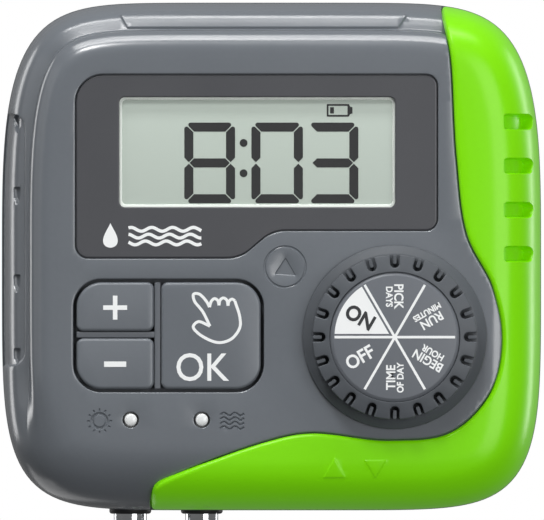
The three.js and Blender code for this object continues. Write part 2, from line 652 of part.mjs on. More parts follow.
const cellTop = CELL.bottomZ + CELL.length;
for (let i = 0; i < CELL.count; i += 1) {
  const x = CELL.firstX + CELL.pitch * i;
  const flip = i % 2 === 1;
  const shoulder = CELL.length - CELL.pipHeight;
  const profile = [
    [0, 0], [CELL.radius, 0], [CELL.radius, shoulder],
    [CELL.pip, shoulder], [CELL.pip, CELL.length], [0, CELL.length],
  ];
  const upright = profile.map(([r, z]) => [r, CELL.bottomZ + z]);
  const inverted = profile.map(([r, z]) => [r, cellTop - z]).reverse();
  piece(`battery_cell_${i + 1}`, turnedZ(flip ? inverted : upright, x, CELL.y, 20), FINISH.cell);
  piece(`battery_spring_${i + 1}`, batterySpring(x, flip), FINISH.steel);
}

// Conical coil between the flat end of a cell and its contact plate.
function batterySpring(x, flip) {
  const away = flip ? 1 : -1;
  const start = (flip ? cellTop : CELL.bottomZ) + away * (GAP + SPRING.wire);
  const points = Array.from({ length: SPRING.points }, (_, i) => {
    const t = i / (SPRING.points - 1);
    const radius = THREE.MathUtils.lerp(SPRING.inner, SPRING.outer, t);
    const angle = 2 * Math.PI * SPRING.turns * t;
    return new THREE.Vector3(
      x + radius * Math.cos(angle), CELL.y + radius * Math.sin(angle), start + away * SPRING.height * t,
    );
  });
  const wire = polygon(circle(0, 0, SPRING.wire, 5));
  return solid(new THREE.ExtrudeGeometry(wire, { steps: 24, extrudePath: new THREE.CatmullRomCurve3(points) }));
}

function batteryContact(low) {
  return block(BAY.left + 1, BAY.right - 1, CELL.y - 5, CELL.y + 5, low, low + CONTACT_THICKNESS);
}
piece('battery_contact_lower', batteryContact(BAY.bottom + GAP), FINISH.steel);
piece('battery_contact_upper', batteryContact(BAY.top - GAP - CONTACT_THICKNESS), FINISH.steel);

// ---------------------------------------------------------------- diaphragm pump

// The pump stands along Z: head, valve plate, diaphragm, case and motor one above the other.
const pumpSquare = roundedBox(
  PUMP.x - PUMP.half, PUMP.x + PUMP.half, PUMP.y - PUMP.half, PUMP.y + PUMP.half, PUMP.corner, 3);

function pumpHead() {
  const { low, high, spigot, spigotRadius, bore } = HEAD;
  let body = prismZ(pumpSquare, low, high);
  for (const x of Object.values(PORT_XS)) {
    body = body
      .add(rodZ(x, PUMP.y, spigotRadius, low - spigot, low + 1, 12))
      .subtract(rodZ(x, PUMP.y, bore, low - spigot - 1, high - 1, 10));
  }
  return body;
}
piece('pump_head', pumpHead(), FINISH.plastic);
piece('valve_plate', prismZ(pumpSquare, -34.7, -33), FINISH.chip);
piece('pump_diaphragm', turnedZ([
  [0, -31.6], [3, -31.6], [4.4, -32.7], [7.6, -32.7], [9, -31.6], [11.4, -31.6], [11.4, -30.4], [0, -30.4],
], PUMP.x, PUMP.y), FINISH.silicone);
piece('pump_case',
  prismZ(pumpSquare, PUMP_CASE.low, PUMP_CASE.high)
    .subtract(rodZ(PUMP.x, PUMP.y, PUMP_CASE.bore, PUMP_CASE.low - 1, PUMP_CASE.boreTop, 24))
    .subtract(rodZ(PUMP.x, PUMP.y, PUMP_CASE.shaftHole, PUMP_CASE.boreTop - 1, PUMP_CASE.high + 1, 12)),
  FINISH.plastic);
piece('wobble_plate', turnedZ([
  [0, -28.8], [8.6, -28.8], [8.6, -27.4], [2, -26.6], [1, -23.4], [0, -23.4],
], PUMP.x, PUMP.y), FINISH.plastic);
piece('pump_crank',
  rodZ(PUMP.x, PUMP.y, CRANK.radius, CRANK.low, CRANK.high, 20)
    .subtract(rodZ(PUMP.x, PUMP.y, CRANK.shaftHole, CRANK.low - 1, CRANK.high + 1, 12))
    .subtract(rodZ(PUMP.x + CRANK.pinThrow, PUMP.y, CRANK.pinHole, CRANK.low - 1, CRANK.low + 2.6, 10)),
  FINISH.brass);
piece('motor_shaft', rodZ(PUMP.x, PUMP.y, 1, CRANK.low + 0.4, MOTOR.shaftEnd - 0.6, 12), FINISH.steel);
piece('pump_motor', turnedZ([
  [MOTOR.shaftHole, MOTOR.low], [PUMP.radius, MOTOR.low], [PUMP.radius, MOTOR.high], [MOTOR.boss, MOTOR.high],
  [MOTOR.boss, MOTOR.bossTop], [0, MOTOR.bossTop], [0, MOTOR.shaftEnd], [MOTOR.shaftHole, MOTOR.shaftEnd],
  [MOTOR.shaftHole, MOTOR.low],
], PUMP.x, PUMP.y, 20), FINISH.steel);

// Rubber ring around the motor, flat where it bears on the back wall.
function pumpRing() {
  const { low, high, thickness } = RING;
  return rodZ(PUMP.x, PUMP.y, PUMP.radius + thickness, low, high, 28)
    .subtract(rodZ(PUMP.x, PUMP.y, PUMP.radius + GAP, low - 1, high + 1, 28))
    .subtract(block(PUMP.x - 20, PUMP.x + 20, -WALL - GAP, 0, low - 1, high + 1));
}
piece('pump_ring', pumpRing(), FINISH.seal);

function collarProfile() {
  const bore = NOZZLE_RADIUS + GAP;
  const low = CASE_BOTTOM - 0.7;
  const high = COLLAR_SEAT_Z - GAP;
  return [
    [bore, low], [COLLAR_RADIUS - 0.6, low], [COLLAR_RADIUS, CASE_BOTTOM - 0.2], [COLLAR_RADIUS, high],
    [bore, high], [bore, low],
  ];
}

for (const [name, x] of Object.entries(PORT_XS)) {
  const hose = tubeProfile(HOSE.inner, HOSE.outer, HOSE.low, HOSE.high);
  piece(`${name}_hose`, turnedZ(hose, x, PUMP.y, 16), FINISH.silicone);
  piece(`${name}_collar`, turnedZ(collarProfile(), x, PUMP.y, 20), FINISH.collar);
  piece(`${name}_nozzle`, turnedZ([
    [1.3, -68], [1.8, -68], [2.7, -65.6], [2.1, -65.4], [2.1, -63.8], [2.7, -61.8], [2.1, -61.6], [2.1, -59.4],
    [NOZZLE_RADIUS, -59.4], [NOZZLE_RADIUS, -53], [2, -52.8], [2, -46.2], [1.3, -46.2], [1.3, -68],
  ], x, PUMP.y, 14), FINISH.nozzle);
}

group.position.z = -KEYHOLE.z;

export default group;
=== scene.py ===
import json
import math

import bmesh
import bpy
import numpy as np
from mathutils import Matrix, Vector, geometry, kdtree


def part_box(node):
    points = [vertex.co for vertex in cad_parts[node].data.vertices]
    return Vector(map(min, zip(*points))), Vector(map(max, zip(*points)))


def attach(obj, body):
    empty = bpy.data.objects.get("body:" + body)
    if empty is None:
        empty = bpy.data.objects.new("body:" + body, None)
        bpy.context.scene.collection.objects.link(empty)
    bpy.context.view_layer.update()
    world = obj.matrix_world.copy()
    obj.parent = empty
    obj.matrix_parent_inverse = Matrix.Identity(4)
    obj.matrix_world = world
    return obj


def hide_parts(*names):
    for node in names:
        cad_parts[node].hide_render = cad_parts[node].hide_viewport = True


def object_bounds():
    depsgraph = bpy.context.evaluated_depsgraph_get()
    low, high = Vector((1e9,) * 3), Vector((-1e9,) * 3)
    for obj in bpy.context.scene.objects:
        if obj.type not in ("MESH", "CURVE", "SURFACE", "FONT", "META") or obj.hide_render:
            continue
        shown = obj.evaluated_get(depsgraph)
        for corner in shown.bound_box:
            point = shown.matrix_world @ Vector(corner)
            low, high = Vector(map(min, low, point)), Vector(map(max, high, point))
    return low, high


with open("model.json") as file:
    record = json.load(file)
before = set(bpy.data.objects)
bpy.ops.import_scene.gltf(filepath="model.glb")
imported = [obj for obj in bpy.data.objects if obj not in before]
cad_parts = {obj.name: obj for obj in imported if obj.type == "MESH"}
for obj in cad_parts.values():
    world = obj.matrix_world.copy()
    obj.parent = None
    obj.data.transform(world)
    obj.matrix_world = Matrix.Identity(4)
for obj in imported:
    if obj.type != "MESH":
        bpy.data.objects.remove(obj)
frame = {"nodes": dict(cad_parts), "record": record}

cad_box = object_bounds()

# Lengths are millimetres about the centre of the case until a mesh is made, x to the right, y back and z up.
MM = 0.001
rear_low, rear_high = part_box("rear_housing")
CASE_Z = (rear_low.z + rear_high.z) / 2


def cad(node):
    """Lowest and highest corner of a CAD node, in millimetres about the centre of the case."""
    low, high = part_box(node)
    shift = np.array([0, 0, CASE_Z])
    return (np.array(low) - shift) / MM, (np.array(high) - shift) / MM


def middle(node):
    low, high = cad(node)
    return (low + high) / 2


CASE_WIDTH = (cad_box[1].x - cad_box[0].x) / MM
CASE_HEIGHT = 2 * cad("front_housing")[1][2]
FACE_Y = cad("front_housing")[0][1]
PARTING_Y = cad("front_housing")[1][1]
TRIM_FACE_Y = cad("green_trim")[0][1]

# The outline is a rounded square: powers of its curve at the sides, the top and the bottom.
SIDE_POWER = 7
TOP_POWER = 3.45
BOTTOM_POWER = 4.8
FLAT_INSET = 17

# Profiles of the shells, as knots [inset from the outline, y] from the parting line to the flat face.
SHOULDER = [
    [[0.65, PARTING_Y], [0.4, -24], [0.35, -27.5], [0.75, -31.2], [1.5, -34.6], [2.4, -37.1], [3.3, -38.3],
     [4.6, -39.2], [5.6, -39.8], [6.3, -40.2]],
    [[6.3, -40.2], [6.45, -42.2], [6.65, -43.9], [7.15, -44.95], [8, -45.7], [9, -46.4], [10.3, -46.85],
     [12.4, FACE_Y], [FLAT_INSET, FACE_Y]],
]
SMOOTH = [
    [[0.65, PARTING_Y], [0.4, -24], [0.35, -29], [0.6, -33.2], [1.4, -36.6], [2.6, -39.3], [4.4, -42],
     [6.9, -44.3], [10, -46], [13.5, -46.85], [FLAT_INSET, FACE_Y]],
]
TRIM_PROFILE = [
    [[0.65, PARTING_Y], [0.4, -24], [0.35, -29], [0.6, -34], [1.3, -38], [2.6, -41.6], [4.6, -44.5],
     [7.2, -46.4], [10, -47.2], [13, TRIM_FACE_Y], [FLAT_INSET, TRIM_FACE_Y]],
]
SMOOTH_FROM_Z = -26
SMOOTH_TO_Z = -45
PROFILE_SPACING = 0.05
DEEPEST_RUN = 60.0
HALVINGS = 40

# The trim's edge over the front, from the top to the bottom, as knots [x, z].
TRIM_EDGE = [
    [37.9, 55], [39.6, 44], [40.9, 22], [43.3, 4.5], [49, -6.8], [51.3, -18.5], [48.6, -30],
    [39.6, -38.9], [26, -40.7], [8.5, -39.1], [-1, -40.9], [-21.5, -48.7], [-25.9, -51.6], [-26.6, -54.6],
]
TRIM_GAP = 0.28
EDGE_SHIFT = 0.25
TRIM_THICKNESS = 1.8
SHELL_THICKNESS = 1.9
THINNEST_WALL = 0.9
STEP_WIDTH = 0.08
RING_POINTS = 280
WIDE_ROW = 1.3
FINE_ROW = 0.32
OUTLINE_SPACING = 1.5

# ---------------------------------------------------------------- curves


def lerp(a, b, t):
    return a + (b - a) * t


def smoothstep(low, high, x):
    t = np.clip((x - low) / (high - low), 0, 1)
    return t * t * (3 - 2 * t)


def spline(knots, spacing):
    """Smooth curve through the knots (centripetal Catmull-Rom), as points about spacing apart."""
    knots = np.array(knots, float)
    padded = np.vstack([2 * knots[0] - knots[1], knots, 2 * knots[-1] - knots[-2]])
    points = []
    for i in range(len(knots) - 1):
        p = padded[i:i + 4]
        gaps = np.maximum(np.linalg.norm(np.diff(p, axis=0), axis=1) ** 0.5, 1e-9)
        t = np.concatenate([[0], np.cumsum(gaps)])
        steps = max(2, int(np.linalg.norm(p[2] - p[1]) / spacing))
        for u in np.linspace(t[1], t[2], steps, endpoint=False):
            a = [lerp(p[k], p[k + 1], (u - t[k]) / (t[k + 1] - t[k])) for k in range(3)]
            b = [lerp(a[k], a[k + 1], (u - t[k]) / (t[k + 2] - t[k])) for k in range(2)]
            points.append(lerp(b[0], b[1], (u - t[1]) / (t[2] - t[1])))
    points.append(knots[-1])
    return np.array(points)


def circle(x, z, radius, count=48):
    angles = np.arange(count) * 2 * math.pi / count
    return np.stack([x + radius * np.cos(angles), z + radius * np.sin(angles)], 1)


def rounded(corners, steps=8):
    """Closed outline of a polygon whose corners [x, z, radius] are rounded."""
    points = []
    for i, (x, z, radius) in enumerate(corners):
        corner = np.array([x, z], float)
        to_before = np.array(corners[i - 1][:2]) - corner
        to_after = np.array(corners[(i + 1) % len(corners)][:2]) - corner
        to_before /= np.linalg.norm(to_before)
        to_after /= np.linalg.norm(to_after)
        half = math.acos(np.clip(to_before @ to_after, -1, 1)) / 2
        bisector = to_before + to_after
        centre = corner + bisector / np.linalg.norm(bisector) * radius / math.sin(half)
        start = corner + to_before * radius / math.tan(half) - centre
        end = corner + to_after * radius / math.tan(half) - centre
        turn = math.atan2(start[0] * end[1] - start[1] * end[0], start @ end)
        first = math.atan2(start[1], start[0])
        for k in range(steps + 1):
            angle = first + turn * k / steps
            points.append(centre + radius * np.array([math.cos(angle), math.sin(angle)]))
    return np.array(points)


def rounded_box(left, right, bottom, top, radius, steps=8):
    corners = [[left, bottom, radius], [right, bottom, radius], [right, top, radius], [left, top, radius]]
    return rounded(corners, steps)


def densify(line, spacing, closed=True):
    """The same outline with its long straight stretches divided."""
    ends = np.roll(line, -1, axis=0) if closed else line[1:]
    starts = line if closed else line[:-1]
    points = []
    for a, b in zip(starts, ends):
        steps = max(1, int(math.ceil(np.linalg.norm(b - a) / spacing)))
        points += [lerp(a, b, k / steps) for k in range(steps)]
    if not closed:
        points.append(line[-1])
    return np.array(points)


def offset(line, distance, closed=True):
    """The line moved to its left by distance: inwards for a closed outline that runs anticlockwise."""
    if closed:
        tangent = np.roll(line, -1, axis=0) - np.roll(line, 1, axis=0)
    else:
        tangent = np.gradient(line, axis=0)
    tangent /= np.maximum(np.linalg.norm(tangent, axis=1)[:, None], 1e-12)
    return line + distance * np.stack([-tangent[:, 1], tangent[:, 0]], 1)


def inside(points, outline):
    """Which points lie inside a closed outline."""
    result = np.zeros(len(points), bool)
    x, z = points[:, 0], points[:, 1]
    for a, b in zip(outline, np.roll(outline, -1, axis=0)):
        if a[1] == b[1]:
            continue
        crosses = (a[1] > z) != (b[1] > z)
        result ^= crosses & (x < (b[0] - a[0]) * (z - a[1]) / (b[1] - a[1]) + a[0])
    return result


def between_outlines(points, outer, holes):
    """Which points lie inside a closed outline and outside its holes."""
    kept = inside(points, outer)
    for hole in holes:
        kept &= ~inside(points, hole)
    return kept


def distance(points, line, closed=False):
    """Distance from each point to a line of straight stretches."""
    starts = line if closed else line[:-1]
    ends = np.roll(line, -1, axis=0) if closed else line[1:]
    nearest = np.full(len(points), 1e9)
    for a, b in zip(starts, ends):
        along = b - a
        t = np.clip(((points - a) @ along) / max(along @ along, 1e-12), 0, 1)
        nearest = np.minimum(nearest, np.linalg.norm(points - a - t[:, None] * along, axis=1))
    return nearest


# ---------------------------------------------------------------- the case surface


class Outline:
    """The rounded square of the case, with a lookup of the inset of any point."""

    def __init__(self, count=20000):
        angles = np.linspace(0, 2 * math.pi, 2 * count + 1)
        points, normals = self.exact(angles)
        length = np.concatenate([[0], np.cumsum(np.linalg.norm(np.diff(points, axis=0), axis=1))])
        even = np.linspace(0, length[-1], count, endpoint=False)
        self.points = np.stack([np.interp(even, length, points[:, k]) for k in range(2)], 1)
        normals = np.stack([np.interp(even, length, normals[:, k]) for k in range(2)], 1)
        self.normals = normals / np.linalg.norm(normals, axis=1)[:, None]
        self.tree = kdtree.KDTree(count)
        for i, (x, z) in enumerate(self.points):
            self.tree.insert((x, z, 0), i)
        self.tree.balance()

    @staticmethod
    def exact(angles):
        """Points of the outline at those angles of its curve, and their outward normals."""
        c, s = np.cos(angles), np.sin(angles)
        power = np.where(s >= 0, TOP_POWER, BOTTOM_POWER)
        u = np.sign(c) * np.abs(c) ** (2 / SIDE_POWER)
        v = np.sign(s) * np.abs(s) ** (2 / power)
        normals = np.stack([
            np.sign(u) * SIDE_POWER * np.abs(u) ** (SIDE_POWER - 1) / CASE_WIDTH,
            np.sign(v) * power * np.abs(v) ** (power - 1) / CASE_HEIGHT,
        ], 1)
        normals /= np.linalg.norm(normals, axis=1)[:, None]
        return np.stack([u * CASE_WIDTH / 2, v * CASE_HEIGHT / 2], 1), normals

    def foot(self, points):
        """Inset of each point from the outline, and the outline's outward normal there."""
        index = np.array([self.tree.find((x, z, 0))[1] for x, z in points])
        normal = self.normals[index]
        return np.sum((self.points[index] - points) * normal, axis=1), normal

    def ring(self, inset, count):
        """The outline moved in by inset, as count points."""
        pick = (np.arange(count) * len(self.points)) // count
        return self.points[pick] - inset * self.normals[pick]


class Profile:
    """A shell's section: (inset, y) over a running length that equals the inset on the flat face."""

    def __init__(self, runs, length=None):
        section = [spline(run, PROFILE_SPACING) for run in runs]
        curve = np.vstack([part if i == 0 else part[1:] for i, part in enumerate(section)])
        step = np.concatenate([[0], np.cumsum(np.linalg.norm(np.diff(curve, axis=0), axis=1))])
        self.length = step[-1] if length is None else length
        self.run = curve[-1][0] - (step[-1] - step) * self.length / step[-1]
        self.inset, self.y = curve[:, 0], curve[:, 1]
        self.start = self.run[0]

    def at(self, run):
        """Inset and y at a running length."""
        flat = run > self.run[-1]
        inset = np.where(flat, run, np.interp(run, self.run, self.inset))
        return inset, np.interp(run, self.run, self.y)


class Shell:
    """A surface over the case outline: it takes points of the flattened shell to space."""

    def __init__(self, profile, low_profile=None):
        self.profile = profile
        self.low = low_profile

    def section(self, run, share):
        """Inset and y at a running length, with that share of the lower profile."""
        inset, y = self.profile.at(run)
        if self.low is not None:
            low_inset, low_y = self.low.at(run)
            inset, y = lerp(inset, low_inset, share), lerp(y, low_y, share)
        return inset, y

    def share(self, points, run, normal):
        """How much of the lower profile holds at each point."""
        return smoothstep(-SMOOTH_FROM_Z, -SMOOTH_TO_Z, -(points + normal * run[:, None])[:, 1])

    def flatten(self, points):
        """Points of the front view, taken to the flattened shell."""
        inset, normal = OUTLINE.foot(points)
        share = self.share(points, inset, normal)
        low = np.full(len(points), self.profile.start)
        high = np.full(len(points), DEEPEST_RUN)
        for _ in range(HALVINGS):
            run = (low + high) / 2
            deeper = self.section(run, share)[0] > inset
            high = np.where(deeper, run, high)
            low = np.where(deeper, low, run)
        return points + normal * (inset - run)[:, None]

    def lift(self, points, height):
        """Points of the flattened shell, taken to space and moved out along the normal by height."""
        run, normal = OUTLINE.foot(points)
        share = self.share(points, run, normal)
        inset, y = self.section(run, share)
        step = 0.02
        inset_after, y_after = self.section(run + step, share)
        inset_before, y_before = self.section(run - step, share)
        across = np.stack([y_before - y_after, inset_after - inset_before], 1)
        across /= np.linalg.norm(across, axis=1)[:, None]
        flat = points + normal * (run - inset)[:, None]
        position = np.stack([flat[:, 0], y, flat[:, 1]], 1)
        outward = np.stack([normal[:, 0] * across[:, 0], -across[:, 1], normal[:, 1] * across[:, 0]], 1)
        return position + outward * height[:, None], outward


OUTLINE = Outline()
shoulder_profile = Profile(SHOULDER)
smooth_profile = Profile(SMOOTH, shoulder_profile.length)
trim_profile = Profile(TRIM_PROFILE)
GREY_SHELL = Shell(shoulder_profile, smooth_profile)
TRIM_SHELL = Shell(trim_profile)

# ---------------------------------------------------------------- triangulated sheets


def triangulate(lines, keep):
    """Triangles over lines [(points, closed)], those whose middle passes keep."""
    vertices, edges = [], []
    for line, closed in lines:
        first = len(vertices)
        vertices += [Vector((x, z)) for x, z in line]
        edges += [(first + i, first + i + 1) for i in range(len(line) - 1)]
        if closed:
            edges.append((first + len(line) - 1, first))
    made = geometry.delaunay_2d_cdt(vertices, edges, [], 0, 1e-6)
    points = np.array([[v.x, v.y] for v in made[0]])
    faces = np.array([f for f in made[2] if len(f) == 3])
    faces = faces[keep(points[faces].mean(axis=1))]
    used = np.unique(faces)
    renumber = np.full(len(points), -1)
    renumber[used] = np.arange(len(used))
    return points[used], renumber[faces]


def thicken(outer, inner, faces):
    """Closed mesh between an outer sheet and an inner one with the same triangles."""
    count = len(outer)
    sides = {}
    for a, b, c in faces:
        for edge in ((a, b), (b, c), (c, a)):
            sides[edge] = True
    rim = [(a, b) for a, b in sides if (b, a) not in sides]
    triangles = [tuple(f) for f in faces]
    triangles += [(c + count, b + count, a + count) for a, b, c in faces]
    triangles += [(b, a, a + count, b + count) for a, b in rim]
    return np.vstack([outer, inner]), triangles


def edge_rows(radius, steps=4):
    """Insets of the rows that round an edge of that radius."""
    return [radius * (1 - math.cos(math.pi / 2 * k / steps)) for k in range(steps + 1)]


def edge_drop(inset, radius):
    """How far a rounded edge lies below its face at that inset."""
    t = np.clip(inset / radius, 0, 1)
    return radius * (1 - np.sqrt(np.maximum(0, 1 - (1 - t) ** 2)))


FINISHES = {}
MERGE_DISTANCE = 1e-7


def make(name, vertices, faces, material, body="case", slot=None, replaces=(), sharp=35):
    """A finished piece from vertices in millimetres about the centre of the case."""
    mesh = bpy.data.meshes.new(name)
    world = np.array(vertices, float) * MM + np.array([0, 0, CASE_Z])
    mesh.from_pydata(world.tolist(), [], [tuple(int(i) for i in f) for f in faces])
    mesh.update()
    work = bmesh.new()
    work.from_mesh(mesh)
    bmesh.ops.remove_doubles(work, verts=work.verts, dist=MERGE_DISTANCE)
    bmesh.ops.recalc_face_normals(work, faces=work.faces)
    work.to_mesh(mesh)
    work.free()
    mesh.polygons.foreach_set("use_smooth", [True] * len(mesh.polygons))
    mesh.set_sharp_from_angle(angle=math.radians(sharp))
    obj = bpy.data.objects.new(name, mesh)
    bpy.context.scene.collection.objects.link(obj)
    mesh.materials.append(FINISHES[material])
    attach(obj, body)
    if replaces:
        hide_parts(*replaces)
    return obj


def plate_mesh(outer, holes, front, back, radius=0.3, hole_radius=0.15):
    """Flat plate with rounded front edges: outer and holes are outlines that run anticlockwise."""
    lines = []
    for inset in edge_rows(radius):
        lines.append((offset(outer, inset), True))
    for hole in holes:
        for inset in edge_rows(hole_radius):
            lines.append((offset(hole, -inset), True))
    points, faces = triangulate(lines, lambda middles: between_outlines(middles, outer, holes))
    drop = edge_drop(distance(points, outer, True), radius)
    for hole in holes:
        drop = np.maximum(drop, edge_drop(distance(points, hole, True), hole_radius))
    top = np.stack([points[:, 0], front + drop, points[:, 1]], 1)
    bottom = np.stack([points[:, 0], np.full(len(points), back), points[:, 1]], 1)
    return thicken(top, bottom, faces)


def plate(name, outer, holes, front, back, material, radius=0.3, hole_radius=0.15, **facts):
    """A flat plate as a piece of its own."""
    vertices, faces = plate_mesh(outer, holes, front, back, radius, hole_radius)
    return make(name, vertices, faces, material, **facts)


def joined(parts):
    """Several meshes (vertices, faces) as one."""
    vertices, faces, first = [], [], 0
    for points, triangles in parts:
        vertices.append(points)
        faces += [tuple(i + first for i in face) for face in triangles]
        first += len(points)
    return np.vstack(vertices), faces


def turned(name, profile, axis, centre, material, segments=96, **facts):
    """Turned piece: a closed profile of [radius, along] about an axis through centre, a point (x, y or z)."""
    profile = np.array(profile, float)
    angles = np.arange(segments) * 2 * math.pi / segments
    vertices, faces = [], []
    count = len(profile)
    for angle in angles:
        c, s = math.cos(angle), math.sin(angle)
        for radius, along in profile:
            if axis == "y":
                vertices.append((centre[0] + radius * c, along, centre[1] + radius * s))
            else:
                vertices.append((centre[0] + radius * c, centre[1] + radius * s, along))
    for k in range(segments):
        after = (k + 1) % segments
        for i in range(count):
            j = (i + 1) % count
            faces.append((k * count + i, k * count + j, after * count + j, after * count + i))
    return make(name, vertices, tidy_faces(vertices, faces), material, **facts)


def tidy_faces(vertices, faces):
    """Quads whose side lies on the axis become triangles, and quads along the axis go."""
    tidy = []
    for face in faces:
        corners = []
        for i in face:
            if not any(np.allclose(vertices[i], vertices[j], atol=MERGE_DISTANCE) for j in corners):
                corners.append(i)
        if len(corners) > 2:
            tidy.append(tuple(corners))
    return tidy


def groove(line, closed, half, depth):
    """Rounded groove along a line: the rows of the sheet that carry it, and its height."""
    if closed:
        rows = [(offset(line, side * half) if side else line, True) for side in (-1, -0.5, 0, 0.5, 1)]
    else:
        ends = [(line[k] - line[j]) / np.linalg.norm(line[k] - line[j]) * half for k, j in ((0, 1), (-1, -2))]
        longer = np.vstack([line[0] + ends[0], line, line[-1] + ends[1]])
        rows = [(stroke(longer, half), True), (line, False)]

    def height(points):
        share = np.clip(distance(points, line, closed) / half, 0, 1)
        return -depth * (1 - share * share)

    return rows, height


def pad(outline, rise, ramp):
    """Area that stands proud by rise (or lies lower, if negative), with a slope inside its outline."""
    rows = [(offset(outline, ramp * k / 4), True) for k in range(5)]

    def height(points):
        depth = np.where(inside(points, outline), distance(points, outline, True), 0)
        return rise * smoothstep(0, ramp, depth)

    return rows, height


def sheet_rings(start, stop, fine):
    """Rows of the flattened shell from start to stop, closer together between the two values of fine."""
    runs = list(np.arange(start, fine[0], WIDE_ROW))
    runs += list(np.arange(fine[0], fine[1], FINE_ROW))
    runs += list(np.arange(fine[1], stop, WIDE_ROW))
    return [(OUTLINE.ring(run, RING_POINTS), True) for run in runs]


def trim_edge(shell):
    """The trim's edge on a flattened shell, carried on over the top and the bottom wall."""
    flat = shell.flatten(offset(spline(TRIM_EDGE, 0.9), -EDGE_SHIFT, False))
    _, normals = OUTLINE.foot(flat[[0, -1]])
    reach = np.linspace(30, 0.6, 24)[:, None]
    return np.vstack([flat[0] + reach * normals[0], flat, flat[-1] + reach[::-1] * normals[1]])


def trim_side(line):
    """Closed region on the trim's side of a line."""
    far = 2 * CASE_WIDTH
    return np.vstack([line, [line[-1][0], -far], [far, -far], [far, far], [line[0][0], far]])


# ---------------------------------------------------------------- places on the front

panel_low, panel_high = cad("display_panel")
window_low, window_high = cad("display_window")
lcd_low, lcd_high = cad("lcd_module")
PANEL_STEP_X = (-7, 0.2)
PANEL_STEP_RISE = 6.1
PANEL_CLEARANCE = 0.2
PANEL_LOW_CORNER = 2.9
PANEL_RIGHT_CORNER = 2.7
PANEL_TOP_CORNER = 6.2
PANEL_STEP_CORNER = 8
WINDOW_MARGIN = 0.3
WINDOW_CORNER = 1.2
LCD_CLEARANCE = 0.3


def panel_outline(clearance):
    """Edge of the display panel, moved in by clearance."""
    left, bottom = panel_low[0] - PANEL_CLEARANCE, panel_low[2] - PANEL_CLEARANCE
    right, top = panel_high[0] + PANEL_CLEARANCE, panel_high[2] + PANEL_CLEARANCE
    low, step = bottom + clearance, bottom + PANEL_STEP_RISE + clearance
    return rounded([
        [left + clearance, low, PANEL_LOW_CORNER - clearance],
        [PANEL_STEP_X[0], low, PANEL_STEP_CORNER],
        [PANEL_STEP_X[1], step, PANEL_STEP_CORNER],
        [right - clearance, step, PANEL_RIGHT_CORNER - clearance],
        [right - clearance, top - clearance, PANEL_RIGHT_CORNER - clearance],
        [left + clearance, top - clearance, PANEL_TOP_CORNER - clearance],
    ], 12)


def window_outline(clearance):
    """Opening of the display panel, moved in by clearance."""
    return rounded_box(window_low[0] - WINDOW_MARGIN + clearance, window_high[0] + WINDOW_MARGIN - clearance,
                       window_low[2] - WINDOW_MARGIN + clearance, window_high[2] + WINDOW_MARGIN - clearance,
                       WINDOW_CORNER - clearance / 2)


KEY_CLEARANCE = 0.7
KEY_CORNER = 5.5
KEY_INNER_CORNER = 1.5
plus_low, plus_high = cad("key_plus")
minus_low, minus_high = cad("key_minus")
ok_low, ok_high = cad("key_ok")
KEY_FACE_Y = plus_low[1]


def keypad_outline():
    """Opening of the housing for the three keys."""
    return rounded_box(plus_low[0] - KEY_CLEARANCE, ok_high[0] + KEY_CLEARANCE, minus_low[2] - KEY_CLEARANCE,
                       plus_high[2] + KEY_CLEARANCE, KEY_CORNER + KEY_CLEARANCE, 12)


dial_low, dial_high = cad("dial_knob")
DIAL_X, DIAL_Z = (dial_low[0] + dial_high[0]) / 2, (dial_low[2] + dial_high[2]) / 2
DIAL_FRONT_Y = dial_low[1]
DIAL_BACK_Y = FACE_Y - 0.5
SKIRT_RADIUS = (dial_high[0] - dial_low[0]) / 2
GRIP_RADIUS = SKIRT_RADIUS - 2.1
LABEL_RADIUS = (cad("dial_label")[1][0] - cad("dial_label")[0][0]) / 2
FLUTES = 20
GRIP_SLOPE = 0.22
SHAFT_HOLE = 5.5
LAMPS = {name: middle(f"lamp_lens_{name}") for name in ("power", "water")}
LENS_HOLE = 1.78
LENS_RADIUS = 1.38

PORTS = {name: middle(f"{name}_nozzle") for name in ("inlet", "outlet")}


# ---------------------------------------------------------------- shells of the front


def strip_outline():
    """Raised strip along the top shoulder, with slanted ends."""
    left, right, bottom, top = -34, 30.5, 50.3, 53.6
    slant_left, slant_right, corner = 2, 2.3, 0.5
    outline = rounded([
        [left + slant_left, bottom, corner], [right - slant_right, bottom, corner],
        [right, top, corner], [left, top, corner],
    ])
    return densify(outline, OUTLINE_SPACING)


def grip_outline():
    """Shallow grip recess down the left side, open over the edge."""
    left, right, bottom, top = -66, -54.4, -24.5, 31.8
    outer_corner, corner = 2, 3.5
    outline = rounded([
        [left, bottom, outer_corner], [right, bottom, corner],
        [right, top, corner], [left, top, outer_corner],
    ])
    return densify(outline, OUTLINE_SPACING)


def dimple_outline(z):
    """Arrow-shaped hollow in the grip recess."""
    outline = rounded([
        [-56.9, z - 2.4, 0.25], [-55.9, z - 0.4, 0.4], [-55.8, z + 2.2, 0.5],
        [-57.7, z + 2.2, 0.5], [-57.6, z - 0.4, 0.4],
    ], 3)
    return densify(outline, 0.6)


def notch_outline(z):
    """Finger notch in the right side of the trim."""
    left, right_low, right_high, half = 51.3, 57.6, 58.2, 1.8
    outline = rounded([
        [left, z - half, 0.9], [right_low, z - half, 0.9], [right_high, z + half, 1.4], [left, z + half, 0.9],
    ], 5)
    return densify(outline, 0.8)


def arrow_outline(x, z, half_width, rise):
    """Flow arrow: a triangle that points down where rise is negative."""
    corner = 0.35
    corners = [[x - half_width, z, corner], [x + half_width, z, corner], [x, z + rise, corner]]
    if rise < 0:
        corners.reverse()
    return densify(rounded(corners, 4), 0.8)


